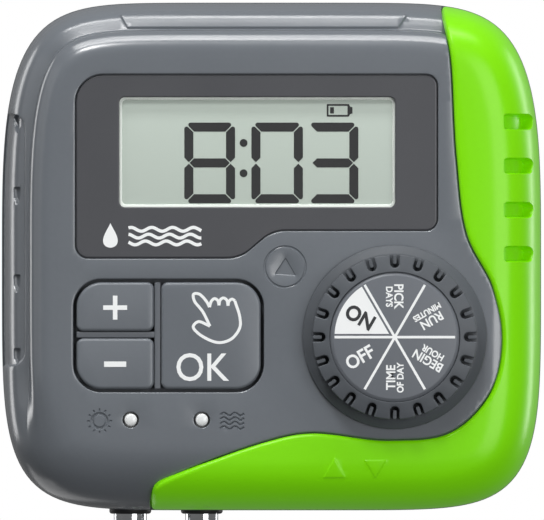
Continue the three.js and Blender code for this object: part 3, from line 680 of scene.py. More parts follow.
def pointer_features():
    """Engraved mark above the dial: a ring round a triangle."""
    x, z, radius = 3.0, -2.33, 4.5
    triangle = rounded([[x - 2.5, z - 1.7, 0.3], [x + 2.6, z - 2.1, 0.3], [x + 0.1, z + 2.3, 0.3]], 4)
    return [
        groove(circle(x, z, radius, 72), closed=True, half=0.32, depth=0.28),
        pad(triangle, rise=-0.25, ramp=0.25),
    ]


def power_features():
    """Engraved sun beside the power lamp."""
    x, z = LAMPS["power"][0] - 6.9, LAMPS["power"][2] - 0.25
    features = [groove(circle(x, z, 1.6, 40), closed=True, half=0.42, depth=0.4)]
    rays, ray_start, ray_end = 12, 2.35, 2.6
    for k in range(rays):
        angle = k * 2 * math.pi / rays
        direction = np.array([[math.cos(angle), math.sin(angle)]])
        ray = np.array([[x, z]]) + direction * np.array([[ray_start], [ray_end]])
        features.append(groove(ray, closed=False, half=0.2, depth=0.3))
    return features


def water_features():
    """Engraved waves beside the water lamp."""
    x, z = LAMPS["water"][0] + 6.7, LAMPS["water"][2] - 0.25
    wave_length, wave_height, pitch = 2.45, 0.32, 1.0
    along = np.linspace(-wave_length, wave_length, 25)
    features = []
    for k in range(4):
        level = z + 1.5 - k * pitch
        wave = np.stack([x + along, level + wave_height * np.sin(along * 2 * math.pi / wave_length)], 1)
        features.append(groove(wave, closed=False, half=0.28, depth=0.35))
    return features


def shell_piece(name, shell, rings, features, holes, region, edge, thickness, material, replaces):
    """One shell of the case; edge is (line, radius, drop beyond it) where the trim's edge passes."""
    lines = list(rings)
    for rows, _ in features:
        lines += rows
    for outline, radius in holes:
        lines += [(offset(outline, -inset), True) for inset in edge_rows(radius)]
    line, radius, drop = edge
    side = -1 if drop else 1
    lines += [(offset(line, side * inset, False), False) for inset in edge_rows(radius)]
    if drop:
        lines.append((offset(line, STEP_WIDTH, False), False))
    beyond = trim_side(line)

    def keep(points):
        kept = OUTLINE.foot(points)[0] > shell.profile.start
        if region is not None:
            kept &= inside(points, region)
        for outline, _ in holes:
            kept &= ~inside(points, outline)
        return kept

    points, faces = triangulate(lines, keep)
    away = distance(points, line)
    past = inside(points, beyond) & (away > STEP_WIDTH / 4)
    lip = edge_drop(away, radius)
    height = -lip
    inner = np.full(len(points), -thickness)
    if drop:
        height = np.where(past, -drop, height)
        inner = np.where(past, -drop - thickness, inner)
    for outline, hole_radius in holes:
        height -= edge_drop(distance(points, outline, True), hole_radius)
    for _, rise in features:
        height += rise(points)
    outer, _ = shell.lift(points, height)
    back, _ = shell.lift(points, np.minimum(inner, height - THINNEST_WALL))
    vertices, triangles = thicken(outer, back, faces)
    return make(name, vertices, triangles, material, replaces=replaces)


def front_shell():
    """Grey housing of the front, cut down to a lower step where the trim lies on it."""
    edge = trim_edge(GREY_SHELL)
    features = [
        pad(GREY_SHELL.flatten(strip_outline()), rise=0.4, ramp=0.5),
        pad(GREY_SHELL.flatten(grip_outline()), rise=-0.6, ramp=0.7),
    ]
    for z in (29.3, 13.3, -6.1, -22.4):
        features.append(pad(GREY_SHELL.flatten(dimple_outline(z)), rise=-0.8, ramp=0.45))
    features += pointer_features() + power_features() + water_features()
    holes = [
        (densify(panel_outline(0), 2), 0.3),
        (densify(keypad_outline(), 2), 0.35),
        (circle(DIAL_X, DIAL_Z, SHAFT_HOLE), 0.2),
    ]
    holes += [(circle(x, z, LENS_HOLE, 40), 0.2) for x, _, z in LAMPS.values()]
    rings = sheet_rings(GREY_SHELL.profile.start, FLAT_INSET + 2, (-2, 13))
    lip = 0.35
    return shell_piece("shell_front", GREY_SHELL, rings, features, holes, None,
                       (edge, lip, TRIM_THICKNESS + lip), SHELL_THICKNESS, "housing", ("front_housing",))


def trim_shell():
    """Green cover over the right side and the bottom."""
    edge = offset(trim_edge(TRIM_SHELL), TRIM_GAP, False)
    features = []
    for k in range(4):
        notch = notch_outline(29.8 - 9.75 * k)
        features.append(pad(TRIM_SHELL.flatten(notch), rise=-2.3, ramp=0.4))
    for arrow in (arrow_outline(13.9, -49.1, 2.9, 5.1), arrow_outline(22.95, -44.8, 2.8, -4.6)):
        features.append(pad(TRIM_SHELL.flatten(arrow), rise=0.22, ramp=0.5))
    rings = sheet_rings(TRIM_SHELL.profile.start, FLAT_INSET, (-2, 12))
    return shell_piece("shell_trim", TRIM_SHELL, rings, features, [], trim_side(edge), (edge, 0.9, 0),
                       TRIM_THICKNESS, "trim", ("green_trim",))


# ---------------------------------------------------------------- display

PRINT = 0.05
LCD_FACE_Y = lcd_low[1]


def printed(name, outlines, face_y, material, body="case", slot=None, thickness=PRINT):
    """Thin printed mark on a face; each outline is (line, holes) or (line, holes, thickness)."""
    vertices, faces, first = [], [], 0
    for outline, holes, *own in outlines:
        lines = [(line, True) for line in [outline] + holes]
        points, triangles = triangulate(lines, lambda middles: between_outlines(middles, outline, holes))
        rise = own[0] if own else thickness
        top = np.stack([points[:, 0], np.full(len(points), face_y - rise), points[:, 1]], 1)
        bottom = top + np.array([0, rise * 1.4, 0])
        shell, sides = thicken(top, bottom, triangles)
        vertices.append(shell)
        faces += [tuple(i + first for i in face) for face in sides]
        first += len(shell)
    return make(name, np.vstack(vertices), faces, material, body=body, slot=slot)


def stroke(line, half):
    """Outline of a drawn line with square ends."""
    left, right = offset(line, half, False), offset(line, -half, False)
    return np.vstack([right, left[::-1]])


def digit_segments(left, right, shape):
    """Segments of one seven-segment figure, as outlines; shape names those that are on."""
    bottom, top = 11.76, 29.6
    mid, t, gap = (bottom + top) / 2, 2.0, 0.16
    half = t / 2
    inner_left, inner_right = left + t, right - t
    parts = {
        "a": [[left + gap, top], [right - gap, top], [inner_right - gap, top - t],
              [inner_left + gap, top - t]],
        "d": [[left + gap, bottom], [inner_left + gap, bottom + t], [inner_right - gap, bottom + t],
              [right - gap, bottom]],
        "g": [[left + half + gap, mid], [inner_left + gap, mid + half], [inner_right - gap, mid + half],
              [right - half - gap, mid], [inner_right - gap, mid - half], [inner_left + gap, mid - half]],
        "f": [[left, top - gap], [inner_left, top - t - gap], [inner_left, mid + half + gap],
              [left + half, mid + gap], [left, mid + half + gap]],
        "b": [[right, top - gap], [right, mid + half + gap], [right - half, mid + gap],
              [inner_right, mid + half + gap], [inner_right, top - t - gap]],
        "e": [[left, bottom + gap], [left, mid - half - gap], [left + half, mid - gap],
              [inner_left, mid - half - gap], [inner_left, bottom + t + gap]],
        "c": [[right, bottom + gap], [inner_right, bottom + t + gap], [inner_right, mid - half - gap],
              [right - half, mid - gap], [right, mid - half - gap]],
    }

    def corner(x, z):
        """Radius of a corner: larger at the four corners of the figure."""
        at_side = min(abs(x - left), abs(x - right)) < 0.2
        at_end = min(abs(z - top), abs(z - bottom)) < 0.2
        return 0.5 if at_side and at_end else 0.08

    outlines = []
    for key in shape:
        outline = np.array(parts[key], float)
        area = np.sum(outline[:, 0] * np.roll(outline[:, 1], -1) - np.roll(outline[:, 0], -1) * outline[:, 1])
        outline = outline if area > 0 else outline[::-1]
        outlines.append((rounded([[x, z, corner(x, z)] for x, z in outline], 4), []))
    return outlines


def battery_sign():
    """Battery of the display: its case with a terminal, and one bar of charge."""
    left, right, bottom, top = 12.2, 17.1, 30.9, 33.7
    collar, tip, corner, small, wall = 17.4, 17.9, 0.3, 0.1, 0.4
    case = rounded([
        [left, bottom, 0.2], [right, bottom, corner],
        [collar, bottom + 0.6, small], [tip, bottom + 0.7, small],
        [tip, top - 0.7, small], [collar, top - 0.6, small],
        [right, top, corner], [left, top, 0.2],
    ], 3)
    room = rounded_box(left + wall, right - 0.3, bottom + wall, top - wall, small, 3)
    bar = rounded_box(left + 0.75, left + 1.6, bottom + 0.7, top - 0.7, small, 3)
    return [(case, [room]), (bar, [])]


def display():
    """Panel, window, liquid-crystal display and what they show."""
    panel_face, panel_back = panel_low[1], panel_high[1]
    plate("panel_plate", panel_outline(PANEL_CLEARANCE), [window_outline(0)], panel_face, panel_back,
          "panel", radius=0.35, hole_radius=0.3, replaces=("display_panel",), sharp=10)
    lcd_hole = rounded_box(lcd_low[0] - LCD_CLEARANCE, lcd_high[0] + LCD_CLEARANCE,
                           lcd_low[2] - LCD_CLEARANCE, lcd_high[2] + LCD_CLEARANCE, 0.8)
    plate("panel_pocket", panel_outline(-1.5), [lcd_hole], panel_back + 0.1, panel_back + 1.4, "housing")
    plate("window_pane", window_outline(0.3), [], window_low[1], window_low[1] + 0.9, "window", radius=0.1,
          replaces=("display_window",))
    glass = rounded_box(lcd_low[0], lcd_high[0], lcd_low[2], lcd_high[2], 0.6)
    plate("lcd_glass", glass, [], LCD_FACE_Y, lcd_high[1], "lcd", radius=0.15, replaces=("lcd_module",))
    plate("lcd_frame", window_outline(-0.6), [window_outline(0.6)], LCD_FACE_Y - 0.3, LCD_FACE_Y - 0.06,
          "lcd_rim", radius=0.05, hole_radius=0.22, slot="lcd")
    signs = digit_segments(-19.27, -8.05, "abcdefg")
    signs += digit_segments(-4.44, 6.94, "abcdef")
    signs += digit_segments(7.9, 19.2, "abcdg")
    signs += [(circle(-6.17, z, 0.87, 28), []) for z in (25.1, 18.4)]
    signs += battery_sign()
    printed("lcd_digits", signs, LCD_FACE_Y, "lcd_ink", slot="lcd")
    emblem(panel_face)


def emblem(face_y):
    """White printed mark of water: a drop beside three waves."""
    x, z = -35.6, 4.5
    turn = np.linspace(0, 2 * math.pi, 49)[:-1]
    drop = np.stack([x - 2.35 * np.sin(turn) * np.sin(turn / 2) ** 1.6, z + 0.2 + 2.75 * np.cos(turn)], 1)
    outlines = [(drop, [])]
    wave_length, wave_height, pitch, lead = 4.6, 0.42, 1.5, 0.7
    along = np.linspace(-31.6, -15.5, 60)
    for k in range(3):
        phase = (along + lead * k) * 2 * math.pi / wave_length
        wave = np.stack([along, z + pitch - pitch * k + wave_height * np.sin(phase)], 1)
        outlines.append((stroke(wave, 0.36), []))
    printed("panel_mark", outlines, face_y, "print_white", slot="panel")


# ---------------------------------------------------------------- keys

KEY_EDGE = 0.7
KEY_THICKNESS = 2.5
KEY_STEM_RADIUS = 2.2


def key_cap(name, low, high, corners, body):
    """One key: its cap and the stem to its switch; corners run anticlockwise from the lower left."""
    outline = rounded([
        [low[0], low[2], corners[0]], [high[0], low[2], corners[1]],
        [high[0], high[2], corners[2]], [low[0], high[2], corners[3]],
    ], 12)
    plate(f"keycap_{name}", outline, [], KEY_FACE_Y, KEY_FACE_Y + KEY_THICKNESS, "key", radius=KEY_EDGE,
          body=body, replaces=(f"key_{name}",))
    stem_front, stem_back, chamfer = KEY_FACE_Y + KEY_THICKNESS - 0.1, high[1], 0.2
    turned(f"keystem_{name}", [
        [0, stem_front], [KEY_STEM_RADIUS, stem_front], [KEY_STEM_RADIUS, stem_back - chamfer],
        [KEY_STEM_RADIUS - chamfer, stem_back], [0, stem_back],
    ], "y", middle(f"switch_plunger_{name}")[[0, 2]], "key", segments=32, body=body)


def text_piece(name, words, size, place, face_y, material, body, turn=0.0, bold=0.0, squeeze=1.0, slot=None):
    """Generic lettering as a thin closed mesh on a face, about place, turned anticlockwise by turn."""
    curve = bpy.data.curves.new(name, "FONT")
    curve.body = words
    curve.size = size
    curve.align_x = "CENTER"
    curve.align_y = "CENTER"
    curve.offset = bold
    curve.extrude = PRINT / 2
    curve.resolution_u = 4
    made = bpy.data.objects.new(name + "_curve", curve)
    bpy.context.scene.collection.objects.link(made)
    bpy.context.view_layer.update()
    mesh = bpy.data.meshes.new_from_object(made)
    co = np.array([v.co for v in mesh.vertices], float)
    faces = [tuple(p.vertices) for p in mesh.polygons]
    bpy.data.objects.remove(made)
    low, high = co.min(axis=0), co.max(axis=0)
    co[:, :2] -= (low[:2] + high[:2]) / 2
    c, s = math.cos(turn), math.sin(turn)
    x = co[:, 0] * squeeze
    flat = np.stack([c * x - s * co[:, 1] + place[0], s * x + c * co[:, 1] + place[1]], 1)
    vertices = np.stack([flat[:, 0], face_y - PRINT / 2 - co[:, 2], flat[:, 1]], 1)
    return make(name, vertices, faces, material, body=body, slot=slot)


def hand_mark():
    """Line drawing of a pointing hand; each line lies a little higher than the one before."""
    thumb = [[-13.6, -15.4], [-16.2, -14.4], [-17.3, -15.5], [-16.3, -16.9]]
    palm = [[-13.0, -18.75], [-11.0, -19.0], [-8.7, -18.1], [-7.0, -15.7], [-7.0, -13.4], [-8.1, -9.8]]
    little = [palm[-1], [-8.7, -9.4], [-9.4, -9.9], [-9.6, -10.9]]
    ring = [[-9.6, -10.9], [-9.9, -9.6], [-10.7, -9.15], [-11.4, -9.7], [-11.6, -10.8]]
    middle_finger = [[-11.6, -10.8], [-11.9, -9.7], [-12.6, -9.3], [-13.3, -9.9], [-13.7, -11.2]]
    first = [[-13.7, -11.2], [-14.4, -9.9], [-16.0, -8.3], [-17.2, -8.3], [-17.1, -9.7], [-15.2, -12.2],
             [-13.6, -15.4]]
    lines = [thumb + palm, little, ring, middle_finger, first]
    half, lap = 0.32, 0.004
    return [(stroke(spline(line, 0.3), half), [], PRINT + lap * k) for k, line in enumerate(lines)]


def keys():
    """The three keys and the white signs on them."""
    outer, inner = KEY_CORNER, KEY_INNER_CORNER
    key_cap("plus", plus_low, plus_high, [inner, inner, inner, outer], "plus_key")
    key_cap("minus", minus_low, minus_high, [outer, inner, inner, inner], "minus_key")
    key_cap("ok", ok_low, ok_high, [inner, outer, outer, inner], "ok_key")
    plus_x, plus_z = (plus_low[0] + plus_high[0]) / 2, (plus_low[2] + plus_high[2]) / 2 - 0.2
    arm, half = 2.65, 0.5
    cross = [[-half, -arm], [half, -arm], [half, -half], [arm, -half], [arm, half], [half, half], [half, arm],
             [-half, arm], [-half, half], [-arm, half], [-arm, -half], [-half, -half]]
    cross = np.array(cross) + [plus_x, plus_z]
    printed("mark_plus", [(cross, [])], KEY_FACE_Y, "print_white", "plus_key", "key")
    minus_x, minus_z = (minus_low[0] + minus_high[0]) / 2, (minus_low[2] + minus_high[2]) / 2 - 0.1
    bar = rounded_box(minus_x - 2.45, minus_x + 2.45, minus_z - 0.6, minus_z + 0.6, 0.05, 2)
    printed("mark_minus", [(bar, [])], KEY_FACE_Y, "print_white", "minus_key", "key")
    printed("mark_hand", hand_mark(), KEY_FACE_Y, "print_white", "ok_key", "key")
    text_piece("mark_ok", "OK", 8.7, (-15.2, -24.45), KEY_FACE_Y, "print_white", "ok_key", slot="key",
               squeeze=0.92, bold=0.05)


def key_mat():
    """Rubber mat under the keys, with the ribs that show between them."""
    rib_front, rib_back, rib_half = FACE_Y + 0.35, -43.5, 0.68
    split_x = (plus_high[0] + ok_low[0]) / 2
    split_z = (plus_low[2] + minus_high[2]) / 2
    floor_low, floor_high = cad("keypad_mat")
    floor = rounded_box(floor_low[0], floor_high[0], floor_low[2], floor_high[2], 7.5, 10)
    stem_hole = KEY_STEM_RADIUS + 0.4
    stems = [middle(f"switch_plunger_{name}")[[0, 2]] for name in ("plus", "minus", "ok")]
    holes = [circle(x, z, stem_hole, 32) for x, z in stems]
    plate("mat_floor", floor, holes, rib_back - 0.1, floor_high[1], "mat", slot="key",
          replaces=("keypad_mat",))
    upright = rounded_box(split_x - rib_half, split_x + rib_half, minus_low[2], plus_high[2], 0.3)
    plate("mat_rib_upright", upright, [], rib_front, rib_back, "mat", radius=0.25, slot="key")
    level = rounded_box(plus_low[0], split_x - 0.6, split_z - rib_half, split_z + rib_half, 0.3)
    plate("mat_rib_level", level, [], rib_front, rib_back, "mat", radius=0.25, slot="key")


# ---------------------------------------------------------------- dial


def polar(reach, angle):
    return reach * np.array([math.cos(angle), math.sin(angle)])


def fluted_outline():
    """Rim of the grip: a circle with U-shaped slots that open outwards."""
    half, root, lip = 1.0, 15.3, 0.3
    start = GRIP_RADIUS * math.cos(math.asin(half / GRIP_RADIUS)) - lip
    gap = 2 * math.pi / FLUTES
    first = math.atan2(half + lip, start + lip)
    quarter = np.linspace(0, math.pi / 2, 4)
    points = []
    for k in range(FLUTES):
        slot_angle = gap * k
        out = polar(1, slot_angle)
        side = np.array([-out[1], out[0]])
        points += [(start + lip * math.sin(a)) * out - (half + lip * (1 - math.cos(a))) * side
                   for a in quarter[::-1]]
        points += [(root + half) * out + half * (math.sin(a) * side - math.cos(a) * out)
                   for a in np.linspace(-math.pi / 2, math.pi / 2, 11)]
        points += [(start + lip * math.sin(a)) * out + (half + lip * (1 - math.cos(a))) * side
                   for a in quarter]
        points += [polar(GRIP_RADIUS, slot_angle + a) for a in np.linspace(first, gap - first, 7)[1:-1]]
    return np.array(points) + [DIAL_X, DIAL_Z]


def dial_grip(back_y):
    """Fluted rim of the knob, whose front falls away from the label."""
    hole = circle(DIAL_X, DIAL_Z, LABEL_RADIUS + 0.1, 120)
    vertices, faces = plate_mesh(fluted_outline(), [hole], DIAL_FRONT_Y, back_y, 0.28, 0.12)
    reach = np.hypot(vertices[:, 0] - DIAL_X, vertices[:, 2] - DIAL_Z)
    front = vertices[:, 1] < DIAL_FRONT_Y + 1
    vertices[:, 1] += np.where(front, GRIP_SLOPE * (reach - LABEL_RADIUS), 0)
    make("dial_grip", vertices, faces, "dial", body="dial", replaces=("dial_knob",))


def dial_ribs(back_y):
    """The narrow rib in each slot of the grip."""
    rib_start, rib_half = 16.1, 0.42
    ribs = []
    for k in range(FLUTES):
        c, s = polar(1, 2 * math.pi * k / FLUTES)
        spin = np.array([[c, s], [-s, c]])
        bar = rounded_box(rib_start, GRIP_RADIUS - 0.1, -rib_half, rib_half, 0.3, 4) @ spin + [DIAL_X, DIAL_Z]
        ribs.append(plate_mesh(bar, [], DIAL_FRONT_Y + 1.0, back_y, 0.15))
    make("dial_slot_ribs", *joined(ribs), "dial", body="dial")


def dial():
    """The selector knob: grip, skirt with its hub, and the label disc."""
    skirt_top = DIAL_BACK_Y - 2.4
    recess_y, recess_radius = DIAL_FRONT_Y + 0.9, 14.9
    hub_radius, hub_back = 5, -43.2
    bore_radius, bore_end = 3.3, -52
    grip_back = skirt_top + 0.4
    dial_grip(grip_back)
    turned("dial_skirt", [
        [0, recess_y], [recess_radius, recess_y], [recess_radius, skirt_top],
        [GRIP_RADIUS - 0.1, skirt_top], [GRIP_RADIUS + 0.35, skirt_top + 0.12],
        [SKIRT_RADIUS - 0.45, DIAL_BACK_Y - 0.95], [SKIRT_RADIUS - 0.12, DIAL_BACK_Y - 0.75],
        [SKIRT_RADIUS, DIAL_BACK_Y - 0.45], [SKIRT_RADIUS, DIAL_BACK_Y - 0.1],
        [SKIRT_RADIUS - 0.1, DIAL_BACK_Y], [hub_radius, DIAL_BACK_Y],
        [hub_radius, hub_back], [bore_radius, hub_back], [bore_radius, bore_end],
        [0, bore_end],
    ], "y", (DIAL_X, DIAL_Z), "dial", segments=160, body="dial")
    dial_ribs(grip_back)
    label_y = DIAL_FRONT_Y - 0.05
    turned("label_disc", [
        [0, label_y], [LABEL_RADIUS - 0.8, label_y], [LABEL_RADIUS - 0.65, label_y + 0.03],
        [LABEL_RADIUS - 0.1, label_y + 0.48], [LABEL_RADIUS, label_y + 0.55], [LABEL_RADIUS, label_y + 0.6],
        [0, label_y + 0.6],
    ], "y", (DIAL_X, DIAL_Z), "label", segments=128, body="dial", replaces=("dial_label",), slot="dial_label")
    dial_print(label_y)


def dial_print(face_y):
    """Six sectors of the label: three spokes, one white sector and the words."""
    reach, half = 13.3, 0.28
    centre = np.array([DIAL_X, DIAL_Z])
    for k in range(3):
        out = polar(1, k * math.pi / 3)
        side = half * np.array([-out[1], out[0]])
        spoke = np.array([centre - reach * out - side, centre + reach * out - side,
                          centre + reach * out + side, centre - reach * out + side])
        printed(f"label_spoke_{k + 1}", [(spoke, [])], face_y, "print_white", "dial", "dial_label",
                thickness=PRINT * (1 + 0.1 * k))
    inset = 0.44 + half
    start, end = 2 * math.pi / 3, math.pi
    apex = centre + polar(inset / math.sin(math.pi / 6), (start + end) / 2)
    lean = math.asin(inset / reach)
    arc = [centre + polar(reach, angle) for angle in np.linspace(start + lean, end - lean, 28)]
    printed("label_on_sector", [(np.vstack([[apex], arc]), [])], face_y, "print_white", "dial", "dial_label")
    on_angle, word_reach = 150, 8.9
    words = [
        (on_angle, [("ON", 4.6, 0.0)], "label_ink", 0.15),
        (210, [("OFF", 4.1, 0.0)], "print_white", 0.1),
        (90, [("PICK", 2.8, 0.9), ("DAYS", 2.0, -1.2)], "print_white", 0.07),
        (30, [("RUN", 2.8, 0.9), ("MINUTES", 1.8, -1.2)], "print_white", 0.07),
        (330, [("BEGIN", 2.8, 0.9), ("HOUR", 2.0, -1.2)], "print_white", 0.07),
        (270, [("TIME", 2.8, 0.9), ("OF DAY", 2.0, -1.2)], "print_white", 0.07),
    ]
    for angle, lines, material, bold in words:
        out = polar(1, math.radians(angle))
        turn = math.radians(angle + 180)
        up = np.array([-math.sin(turn), math.cos(turn)])
        height = face_y - (PRINT if angle == on_angle else 0)
        for k, (line, size, rise) in enumerate(lines):
            place = centre + word_reach * out + rise * up
            text_piece(f"label_text_{angle}_{k + 1}", line, size, place, height, material, "dial", turn=turn,
                       bold=bold, squeeze=0.92, slot="dial_label")


# ---------------------------------------------------------------- lamps and fittings


LENS_FLANGE_RADIUS = 1.7
LENS_FLANGE_Y = -44.6
LENS_BACK_Y = -38


def lamps():
    """The two lamp lenses: a domed end and a light guide behind the flange."""
    for name, (x, _, z) in LAMPS.items():
        top, bulge = FACE_Y - 0.2, 0.45
        dome = [[LENS_RADIUS * math.sin(a), top + bulge * (1 - math.cos(a))]
                for a in np.linspace(0, math.pi / 2, 7)]
        turned(f"lens_{name}", dome + [
            [LENS_RADIUS, LENS_FLANGE_Y], [LENS_FLANGE_RADIUS, LENS_FLANGE_Y],
            [LENS_FLANGE_RADIUS, LENS_BACK_Y], [0, LENS_BACK_Y],
        ], "y", (x, z), "lens", segments=48, replaces=(f"lamp_lens_{name}",))


COLLAR_BORE = 3.95
NOZZLE_BORE = 1.3
NOZZLE_STEM = 2.1
NOZZLE_NECK = 3.65
NECK_TOP = -53
BARB_RADIUS = 2.7


def fittings():
    """A collar and a barbed nozzle at each port; the profiles start at the lower end."""
    for name, (x, y, _) in PORTS.items():
        low, high = cad(f"{name}_collar")
        foot, radius = low[2], (high[0] - low[0]) / 2
        turned(f"{name}_bush", [
            [COLLAR_BORE, foot + 0.15], [COLLAR_BORE + 0.15, foot], [radius - 0.55, foot],
            [radius - 0.2, foot + 0.12], [radius, foot + 0.45], [radius, high[2]], [COLLAR_BORE, high[2]],
        ], "z", (x, y), "collar", segments=72, replaces=(f"{name}_collar",))
        low, high = cad(f"{name}_nozzle")
        tip = low[2]
        profile = [[NOZZLE_BORE, tip + 0.2], [NOZZLE_BORE + 0.15, tip], [1.75, tip], [1.9, tip + 0.15]]
        for barb, stem_end in ((2.4, 4.2), (6.2, 8.6)):
            profile += [[BARB_RADIUS, tip + barb], [BARB_RADIUS - 0.08, tip + barb + 0.2],
                        [NOZZLE_STEM, tip + barb + 0.3], [NOZZLE_STEM, tip + stem_end]]
        turned(f"{name}_spigot", profile + [
            [3.4, tip + 8.6], [3.6, tip + 8.72], [NOZZLE_NECK, tip + 8.95], [NOZZLE_NECK, NECK_TOP],
            [2, NECK_TOP + 0.2], [2, high[2]], [NOZZLE_BORE, high[2]],
        ], "z", (x, y), "nozzle", segments=72, replaces=(f"{name}_nozzle",))


# ---------------------------------------------------------------- back

REAR = [
    [[0.12, PARTING_Y + 0.45], [0.1, -19.4]],
    [[0.1, -19.4], [0.55, -18.9]],
    [[0.55, -18.9], [0.75, -16], [1.05, -12], [2.2, -5], [3.2, -2.4], [4.6, -0.75], [6.8, 0],
     [FLAT_INSET, 0]],
]
REAR_THICKNESS = 2.0
KEYHOLE_X = 30
KEYHOLE_Z = -CASE_Z / MM
KEYHOLE_RISE = 6
KEYHOLE_HEAD = 4.2
KEYHOLE_SLOT = 2.1
SCREW_HOLE = 3
TOWER_RADIUS = 3.8
TOWER_BORE = 1.8
TOWER_FRONT_Y = -20.6
TOWER_SEAT_Y = -14
DOOR_LEDGE = 1.9
SEAT_DEPTH = 1.8
SEAT_THICKNESS = 1.4
BAY_FLOOR_Y = -18.4
BAY_WALL = 1.4


class RearShell(Shell):
    """The back shell: the same lift with its normal towards the wall."""

    def lift(self, points, height):
        position, outward = super().lift(points, -height)
        return position, -outward


def keyhole_outline(x):
    """Round hole for a screw head with a narrower slot above it."""
    low = KEYHOLE_Z - KEYHOLE_RISE / 2
    open_angle = math.asin(KEYHOLE_SLOT / KEYHOLE_HEAD)
    around = np.linspace(math.pi / 2 + open_angle, 2.5 * math.pi - open_angle, 40)
    head = [polar(KEYHOLE_HEAD, angle) + [x, low] for angle in around]
    slot = [polar(KEYHOLE_SLOT, angle) + [x, low + KEYHOLE_RISE] for angle in np.linspace(0, math.pi, 16)]
    return np.array(head + slot)


def bay_outline(grow, radius):
    """Outline of the battery door, grown by that much."""
    low, high = cad("battery_door")
    return rounded_box(low[0] - grow, high[0] + grow, low[2] - grow, high[2] + grow, radius, 6)


def screw_tower(name, x, z):
    """Tube round a housing screw, with the seat of the screw's head inside."""
    turned(name, [
        [SCREW_HOLE, -0.35], [TOWER_RADIUS, -0.6], [TOWER_RADIUS, TOWER_FRONT_Y], [TOWER_BORE, TOWER_FRONT_Y],
        [TOWER_BORE, TOWER_SEAT_Y], [SCREW_HOLE, TOWER_SEAT_Y],
    ], "y", (x, z), "rear", segments=40)


def rear_shell():
    """Grey housing of the back, with keyholes, screw holes and the seat of the battery door."""
    profile = Profile(REAR)
    shell = RearShell(profile)
    screws = [middle(f"housing_screw_{k}")[[0, 2]] for k in range(1, 5)]
    opening = bay_outline(-DOOR_LEDGE, 0.6)
    holes = [(keyhole_outline(side * KEYHOLE_X), 0.4) for side in (-1, 1)]
    holes += [(circle(x, z, SCREW_HOLE, 40), 0.3) for x, z in screws]
    holes.append((opening, 0.15))
    door_seat = bay_outline(0.3, 1.3)
    seat_edge = 0.25
    lines = sheet_rings(profile.start, FLAT_INSET, (-4, 9))
    for outline, radius in holes:
        lines += [(offset(outline, -inset), True) for inset in edge_rows(radius)]
    lines += [(door_seat, True), (offset(door_seat, STEP_WIDTH), True), (offset(door_seat, -seat_edge), True)]

    def keep(points):
        kept = OUTLINE.foot(points)[0] > profile.start
        for outline, _ in holes:
            kept &= ~inside(points, outline)
        return kept

    points, faces = triangulate(lines, keep)
    height = np.zeros(len(points))
    for outline, radius in holes:
        height -= edge_drop(distance(points, outline, True), radius)
    seat = inside(points, offset(door_seat, STEP_WIDTH / 2))
    rim = np.where(seat, 0, edge_drop(distance(points, door_seat, True), seat_edge))
    height = np.where(seat, height - SEAT_DEPTH, height - rim)
    inner = np.where(seat, -SEAT_DEPTH - SEAT_THICKNESS, -REAR_THICKNESS)
    outer, _ = shell.lift(points, height)
    back, _ = shell.lift(points, inner)
    vertices, triangles = thicken(outer, back, faces)
    make("shell_rear", vertices, triangles, "rear", replaces=("rear_housing",))
    for k, (x, z) in enumerate(screws):
        screw_tower(f"screw_tower_{k + 1}", x, z)
    battery_bay(opening)


def battery_bay(opening):
    """Open box behind the door."""
    wall = offset(opening, -BAY_WALL)
    back_y = BAY_FLOOR_Y - BAY_WALL
    levels = ((opening, -DOOR_LEDGE), (wall, -DOOR_LEDGE), (wall, back_y), (opening, BAY_FLOOR_Y))
    rows = [np.stack([line[:, 0], np.full(len(line), y), line[:, 1]], 1) for line, y in levels]
    count = len(opening)
    faces = []
    for k in range(2):
        for i in range(count):
            j = (i + 1) % count
            faces.append((k * count + i, k * count + j, (k + 1) * count + j, (k + 1) * count + i))
    faces.append(tuple(range(2 * count, 3 * count)))
    faces.append(tuple(range(4 * count - 1, 3 * count - 1, -1)))
    for i in range(count):
        j = (i + 1) % count
        faces.append((i, 3 * count + i, 3 * count + j, j))
    make("bay_walls", np.vstack(rows), faces, "rear")


def door():
    """Battery door with a finger grip and four ridges below it."""
    low, high = cad("battery_door")
    centre_x = (low[0] + high[0]) / 2
    grip_half, grip_depth, ridge_half, ridge_rise, edge = 8, 0.7, 0.35, 0.3, 0.35
    outline = rounded_box(low[0], high[0], low[2], high[2], 1.2, 8)
    grip = rounded_box(centre_x - grip_half, centre_x + grip_half, high[2] - 7.9, high[2] - 5.9, 0.9)
    lines = [(offset(outline, inset), True) for inset in edge_rows(edge)]
    lines += [(offset(grip, grip_depth * k / 5), True) for k in range(6)]
    ridges = []
    for k in range(4):
        z = high[2] - 11 - 1.6 * k
        ridge = rounded_box(centre_x - grip_half, centre_x + grip_half, z - ridge_half, z + ridge_half, 0.3)
        ridges.append(ridge)
        lines += [(offset(ridge, ridge_rise * step / 2), True) for step in range(3)]
    points, faces = triangulate(lines, lambda middle_points: inside(middle_points, outline))
    rise = -edge_drop(distance(points, outline, True), edge)
    into_grip = np.where(inside(points, grip), distance(points, grip, True), 0)
    rise -= grip_depth * smoothstep(0, grip_depth, into_grip)
    for ridge in ridges:
        crest = ridge_rise - edge_drop(distance(points, ridge, True), ridge_rise)
        rise += np.where(inside(points, ridge), crest, 0)
    rise = np.minimum(rise, ridge_rise)
    top = np.stack([points[:, 0], high[1] - ridge_rise + rise, points[:, 1]], 1)
    bottom = np.stack([points[:, 0], np.full(len(points), low[1]), points[:, 1]], 1)
    vertices, triangles = thicken(top, bottom, faces)
    make("door_plate", vertices, triangles, "rear", body="door", replaces=("battery_door",))


# ---------------------------------------------------------------- materials


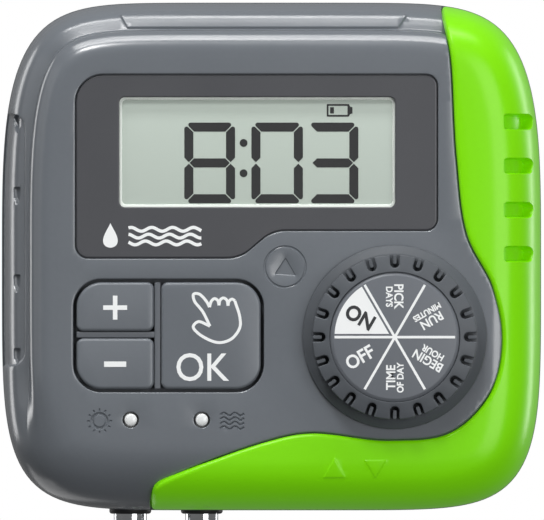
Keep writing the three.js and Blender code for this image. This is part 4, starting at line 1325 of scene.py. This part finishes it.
def linear(red, green, blue):
    """Scene colour of a printed one (0 to 255)."""
    return tuple(c / 12.92 if c <= 0.04045 else ((c + 0.055) / 1.055) ** 2.4
                 for c in (red / 255, green / 255, blue / 255)) + (1.0,)


def finish_of(name, colour, roughness, grain=900.0, bump=0.06, spread=0.05, speckle=0.03, metal=0.0,
              **sockets):
    """Moulded or metal surface: fine grain in the bump and the colour, and a gloss that drifts a little."""
    material = bpy.data.materials.new(f"finish_{name}")
    FINISHES[name] = material
    material.use_nodes = True
    nodes, links = material.node_tree.nodes, material.node_tree.links
    shader = nodes["Principled BSDF"]
    shader.inputs["Metallic"].default_value = metal
    for socket, value in sockets.items():
        shader.inputs[socket].default_value = value
    place = nodes.new("ShaderNodeTexCoord")
    fine = nodes.new("ShaderNodeTexNoise")
    fine.inputs["Scale"].default_value = grain
    fine.inputs["Detail"].default_value = 4
    links.new(place.outputs["Object"], fine.inputs["Vector"])
    broad = nodes.new("ShaderNodeTexNoise")
    broad.inputs["Scale"].default_value = 45
    broad.inputs["Detail"].default_value = 3
    links.new(place.outputs["Object"], broad.inputs["Vector"])
    gloss = nodes.new("ShaderNodeMapRange")
    gloss.interpolation_type = "SMOOTHERSTEP"
    gloss.inputs["From Min"].default_value = 0.15
    gloss.inputs["From Max"].default_value = 0.85
    gloss.inputs["To Min"].default_value = max(0.02, roughness - spread)
    gloss.inputs["To Max"].default_value = roughness + spread
    links.new(broad.outputs["Fac"], gloss.inputs["Value"])
    links.new(gloss.outputs["Result"], shader.inputs["Roughness"])
    tint = nodes.new("ShaderNodeMix")
    tint.data_type = "RGBA"
    tint.inputs["A"].default_value = tuple(c * (1 - speckle) for c in linear(*colour)[:3]) + (1.0,)
    tint.inputs["B"].default_value = tuple(min(1.0, c * (1 + speckle)) for c in linear(*colour)[:3]) + (1.0,)
    links.new(fine.outputs["Fac"], tint.inputs["Factor"])
    links.new(tint.outputs["Result"], shader.inputs["Base Color"])
    relief = nodes.new("ShaderNodeBump")
    relief.inputs["Strength"].default_value = bump
    relief.inputs["Distance"].default_value = 0.0002
    links.new(fine.outputs["Fac"], relief.inputs["Height"])
    links.new(relief.outputs["Normal"], shader.inputs["Normal"])


def materials():
    """Every finish. The trim has a painted glow: a small emission that brightens its shaded lower side,
    though it is no lamp.
    """
    finish_of("housing", (102, 107, 113), 0.235, bump=0.05, spread=0.03, **{"Specular IOR Level": 0.8})
    # painted shade: the back is a darker grey than the front, so the back flange shows as a dark outline
    # round the silhouette
    finish_of("rear", (78, 82, 87), 0.45, bump=0.12)
    # painted glow: the trim's emission stands in for light on its shaded, downward-facing surfaces
    finish_of("trim", (112, 196, 0), 0.32, bump=0.03, spread=0.03,
              **{"Specular IOR Level": 0.38, "Specular Tint": (1.0, 1.0, 0.7, 1.0),
                 "Emission Color": (0.18, 0.68, 0.0, 1.0), "Emission Strength": 0.24})
    finish_of("panel", (70, 71, 75), 0.38, bump=0.04)
    finish_of("window", (30, 34, 32), 0.05, bump=0.0, Alpha=0.05)
    finish_of("lcd", (202, 214, 204), 0.4, grain=2500, bump=0.02, speckle=0.02)
    finish_of("lcd_rim", (240, 247, 240), 0.4, grain=2500, bump=0.02)
    finish_of("lcd_ink", (44, 45, 46), 0.45, grain=2500, bump=0.02)
    finish_of("key", (103, 108, 114), 0.36, bump=0.06)
    finish_of("mat", (92, 96, 102), 0.6, bump=0.1)
    finish_of("dial", (82, 86, 91), 0.5, bump=0.06, **{"Specular IOR Level": 0.28})
    finish_of("label", (104, 108, 114), 0.36, bump=0.03, spread=0.04, **{"Specular IOR Level": 0.3})
    finish_of("label_ink", (40, 42, 45), 0.4, bump=0.03)
    finish_of("print_white", (238, 240, 240), 0.4, bump=0.03, speckle=0.01)
    finish_of("lens", (226, 228, 228), 0.2, bump=0.02,
              **{"Subsurface Weight": 0.3, "Subsurface Radius": (0.001,) * 3})
    finish_of("silicone", (206, 208, 205), 0.55, bump=0.05)
    finish_of("seal", (34, 35, 36), 0.75, bump=0.1)
    finish_of("board", (24, 92, 52), 0.35, grain=400, bump=0.12, speckle=0.15)
    finish_of("chip", (28, 29, 31), 0.5, bump=0.1)
    finish_of("switch", (40, 41, 43), 0.5, bump=0.08)
    finish_of("plastic", (226, 223, 215), 0.45, bump=0.06)
    finish_of("steel", (190, 192, 195), 0.28, grain=1500, bump=0.08, metal=1.0)
    finish_of("brass", (202, 166, 84), 0.3, grain=1500, bump=0.08, metal=1.0)
    finish_of("cell", (44, 76, 128), 0.3, grain=300, bump=0.04, metal=0.3, **{"Coat Weight": 0.4})
    finish_of("collar", (24, 25, 27), 0.45, bump=0.08)
    finish_of("nozzle", (214, 216, 218), 0.12, grain=600, bump=0.05, spread=0.04, metal=1.0)


SLOT_MATERIALS = {"dial_label": "label"}
SOFT_ANGLE = 40


def dress_cad_nodes():
    """Every CAD node that stays gets its finish, smooth faces and soft edges."""
    for row in frame["record"]["subparts"]:
        obj = frame["nodes"][row["node"]]
        slot = row["material_slot"]
        obj.data.materials.clear()
        obj.data.materials.append(FINISHES[SLOT_MATERIALS.get(slot, slot)])
        obj.data.polygons.foreach_set("use_smooth", [True] * len(obj.data.polygons))
        obj.data.set_sharp_from_angle(angle=math.radians(SOFT_ANGLE))


# ---------------------------------------------------------------- studio


def area_light(name, place, target, size, power, tall=None):
    """Rectangle of light that faces its target and that the camera doesn't see."""
    lamp = bpy.data.lights.new(name, "AREA")
    lamp.shape = "RECTANGLE"
    lamp.size = size
    lamp.size_y = tall or size
    lamp.energy = power
    obj = bpy.data.objects.new(name, lamp)
    bpy.context.scene.collection.objects.link(obj)
    obj.location = place
    obj.rotation_euler = (Vector(target) - Vector(place)).to_track_quat("-Z", "Y").to_euler()
    obj.visible_camera = False
    return obj


def surroundings():
    """White behind the object; elsewhere a dim light that grows towards the top."""
    world = bpy.data.worlds.new("studio")
    bpy.context.scene.world = world
    world.use_nodes = True
    nodes, links = world.node_tree.nodes, world.node_tree.links
    nodes.clear()
    path = nodes.new("ShaderNodeLightPath")
    seen = nodes.new("ShaderNodeBackground")
    seen.inputs["Color"].default_value = (1, 1, 1, 1)
    around = nodes.new("ShaderNodeBackground")
    direction = nodes.new("ShaderNodeTexCoord")
    split = nodes.new("ShaderNodeSeparateXYZ")
    fade = nodes.new("ShaderNodeMapRange")
    fade.inputs["From Min"].default_value = -0.4
    fade.inputs["From Max"].default_value = 0.7
    fade.inputs["To Min"].default_value = 0.14
    fade.inputs["To Max"].default_value = 0.31
    links.new(direction.outputs["Generated"], split.inputs[0])
    links.new(split.outputs["Z"], fade.inputs["Value"])
    links.new(fade.outputs["Result"], around.inputs["Color"])
    mix = nodes.new("ShaderNodeMixShader")
    out = nodes.new("ShaderNodeOutputWorld")
    links.new(path.outputs["Is Camera Ray"], mix.inputs[0])
    links.new(around.outputs[0], mix.inputs[1])
    links.new(seen.outputs[0], mix.inputs[2])
    links.new(mix.outputs[0], out.inputs["Surface"])


def lights():
    """Soft lights round the object, in metres and watts; all face the middle of the front."""
    target = (0, FACE_Y * MM, CASE_Z)
    area_light("key", (-0.33, -0.95, CASE_Z + 1.1), target, 0.3, 9.2)
    area_light("top", (0.0, -0.38, CASE_Z + 1.1), target, 1.2, 8.6, tall=0.18)
    area_light("left", (-1.1, 0.9, CASE_Z + 0.2), target, 0.5, 4.0, tall=0.9)
    area_light("right", (1.1, 0.85, CASE_Z + 0.15), target, 0.35, 5, tall=0.9)
    area_light("rim", (-0.5, 0.85, CASE_Z - 0.8), target, 0.7, 1.1)
    area_light("side", (-1.2, -0.5, CASE_Z + 0.3), target, 0.8, 1.0)
    area_light("fill", (0.75, -1.4, CASE_Z + 0.05), target, 0.9, 10.8)


def floor():
    """Plain pale floor below the object, which the object doesn't mirror."""
    reach, below = 1.0, 0.045
    z = cad_box[0].z - below
    mesh = bpy.data.meshes.new("floor")
    mesh.from_pydata([(-reach, -reach, z), (reach, -reach, z), (reach, reach, z), (-reach, reach, z)], [],
                     [(0, 1, 2, 3)])
    obj = bpy.data.objects.new("floor", mesh)
    bpy.context.scene.collection.objects.link(obj)
    finish_of("floor", (236, 236, 234), 0.7, grain=60, bump=0.02, speckle=0.01)
    mesh.materials.append(FINISHES["floor"])
    obj.visible_diffuse = False
    obj.visible_glossy = False
    obj.visible_shadow = False


def camera():
    """Camera far in front of the case, so that the view is nearly parallel."""
    data = bpy.data.cameras.new("camera")
    obj = bpy.data.objects.new("camera", data)
    bpy.context.scene.collection.objects.link(obj)
    away = 5.0
    view_width = 1.0055 * CASE_WIDTH * MM
    widest_y = -0.028
    to_right, below_middle = 0.00011, 0.00078
    data.sensor_width = 36
    data.lens = data.sensor_width * away / view_width
    data.clip_end = 20
    obj.location = (to_right, widest_y - away, CASE_Z - below_middle)
    obj.rotation_euler = (math.radians(90), 0, 0)
    bpy.context.scene.camera = obj


camera()
materials()
front_shell()
trim_shell()
display()
keys()
key_mat()
dial()
lamps()
fittings()
rear_shell()
door()
dress_cad_nodes()
bpy.context.scene.view_settings.view_transform = "Standard"
surroundings()
lights()
floor()
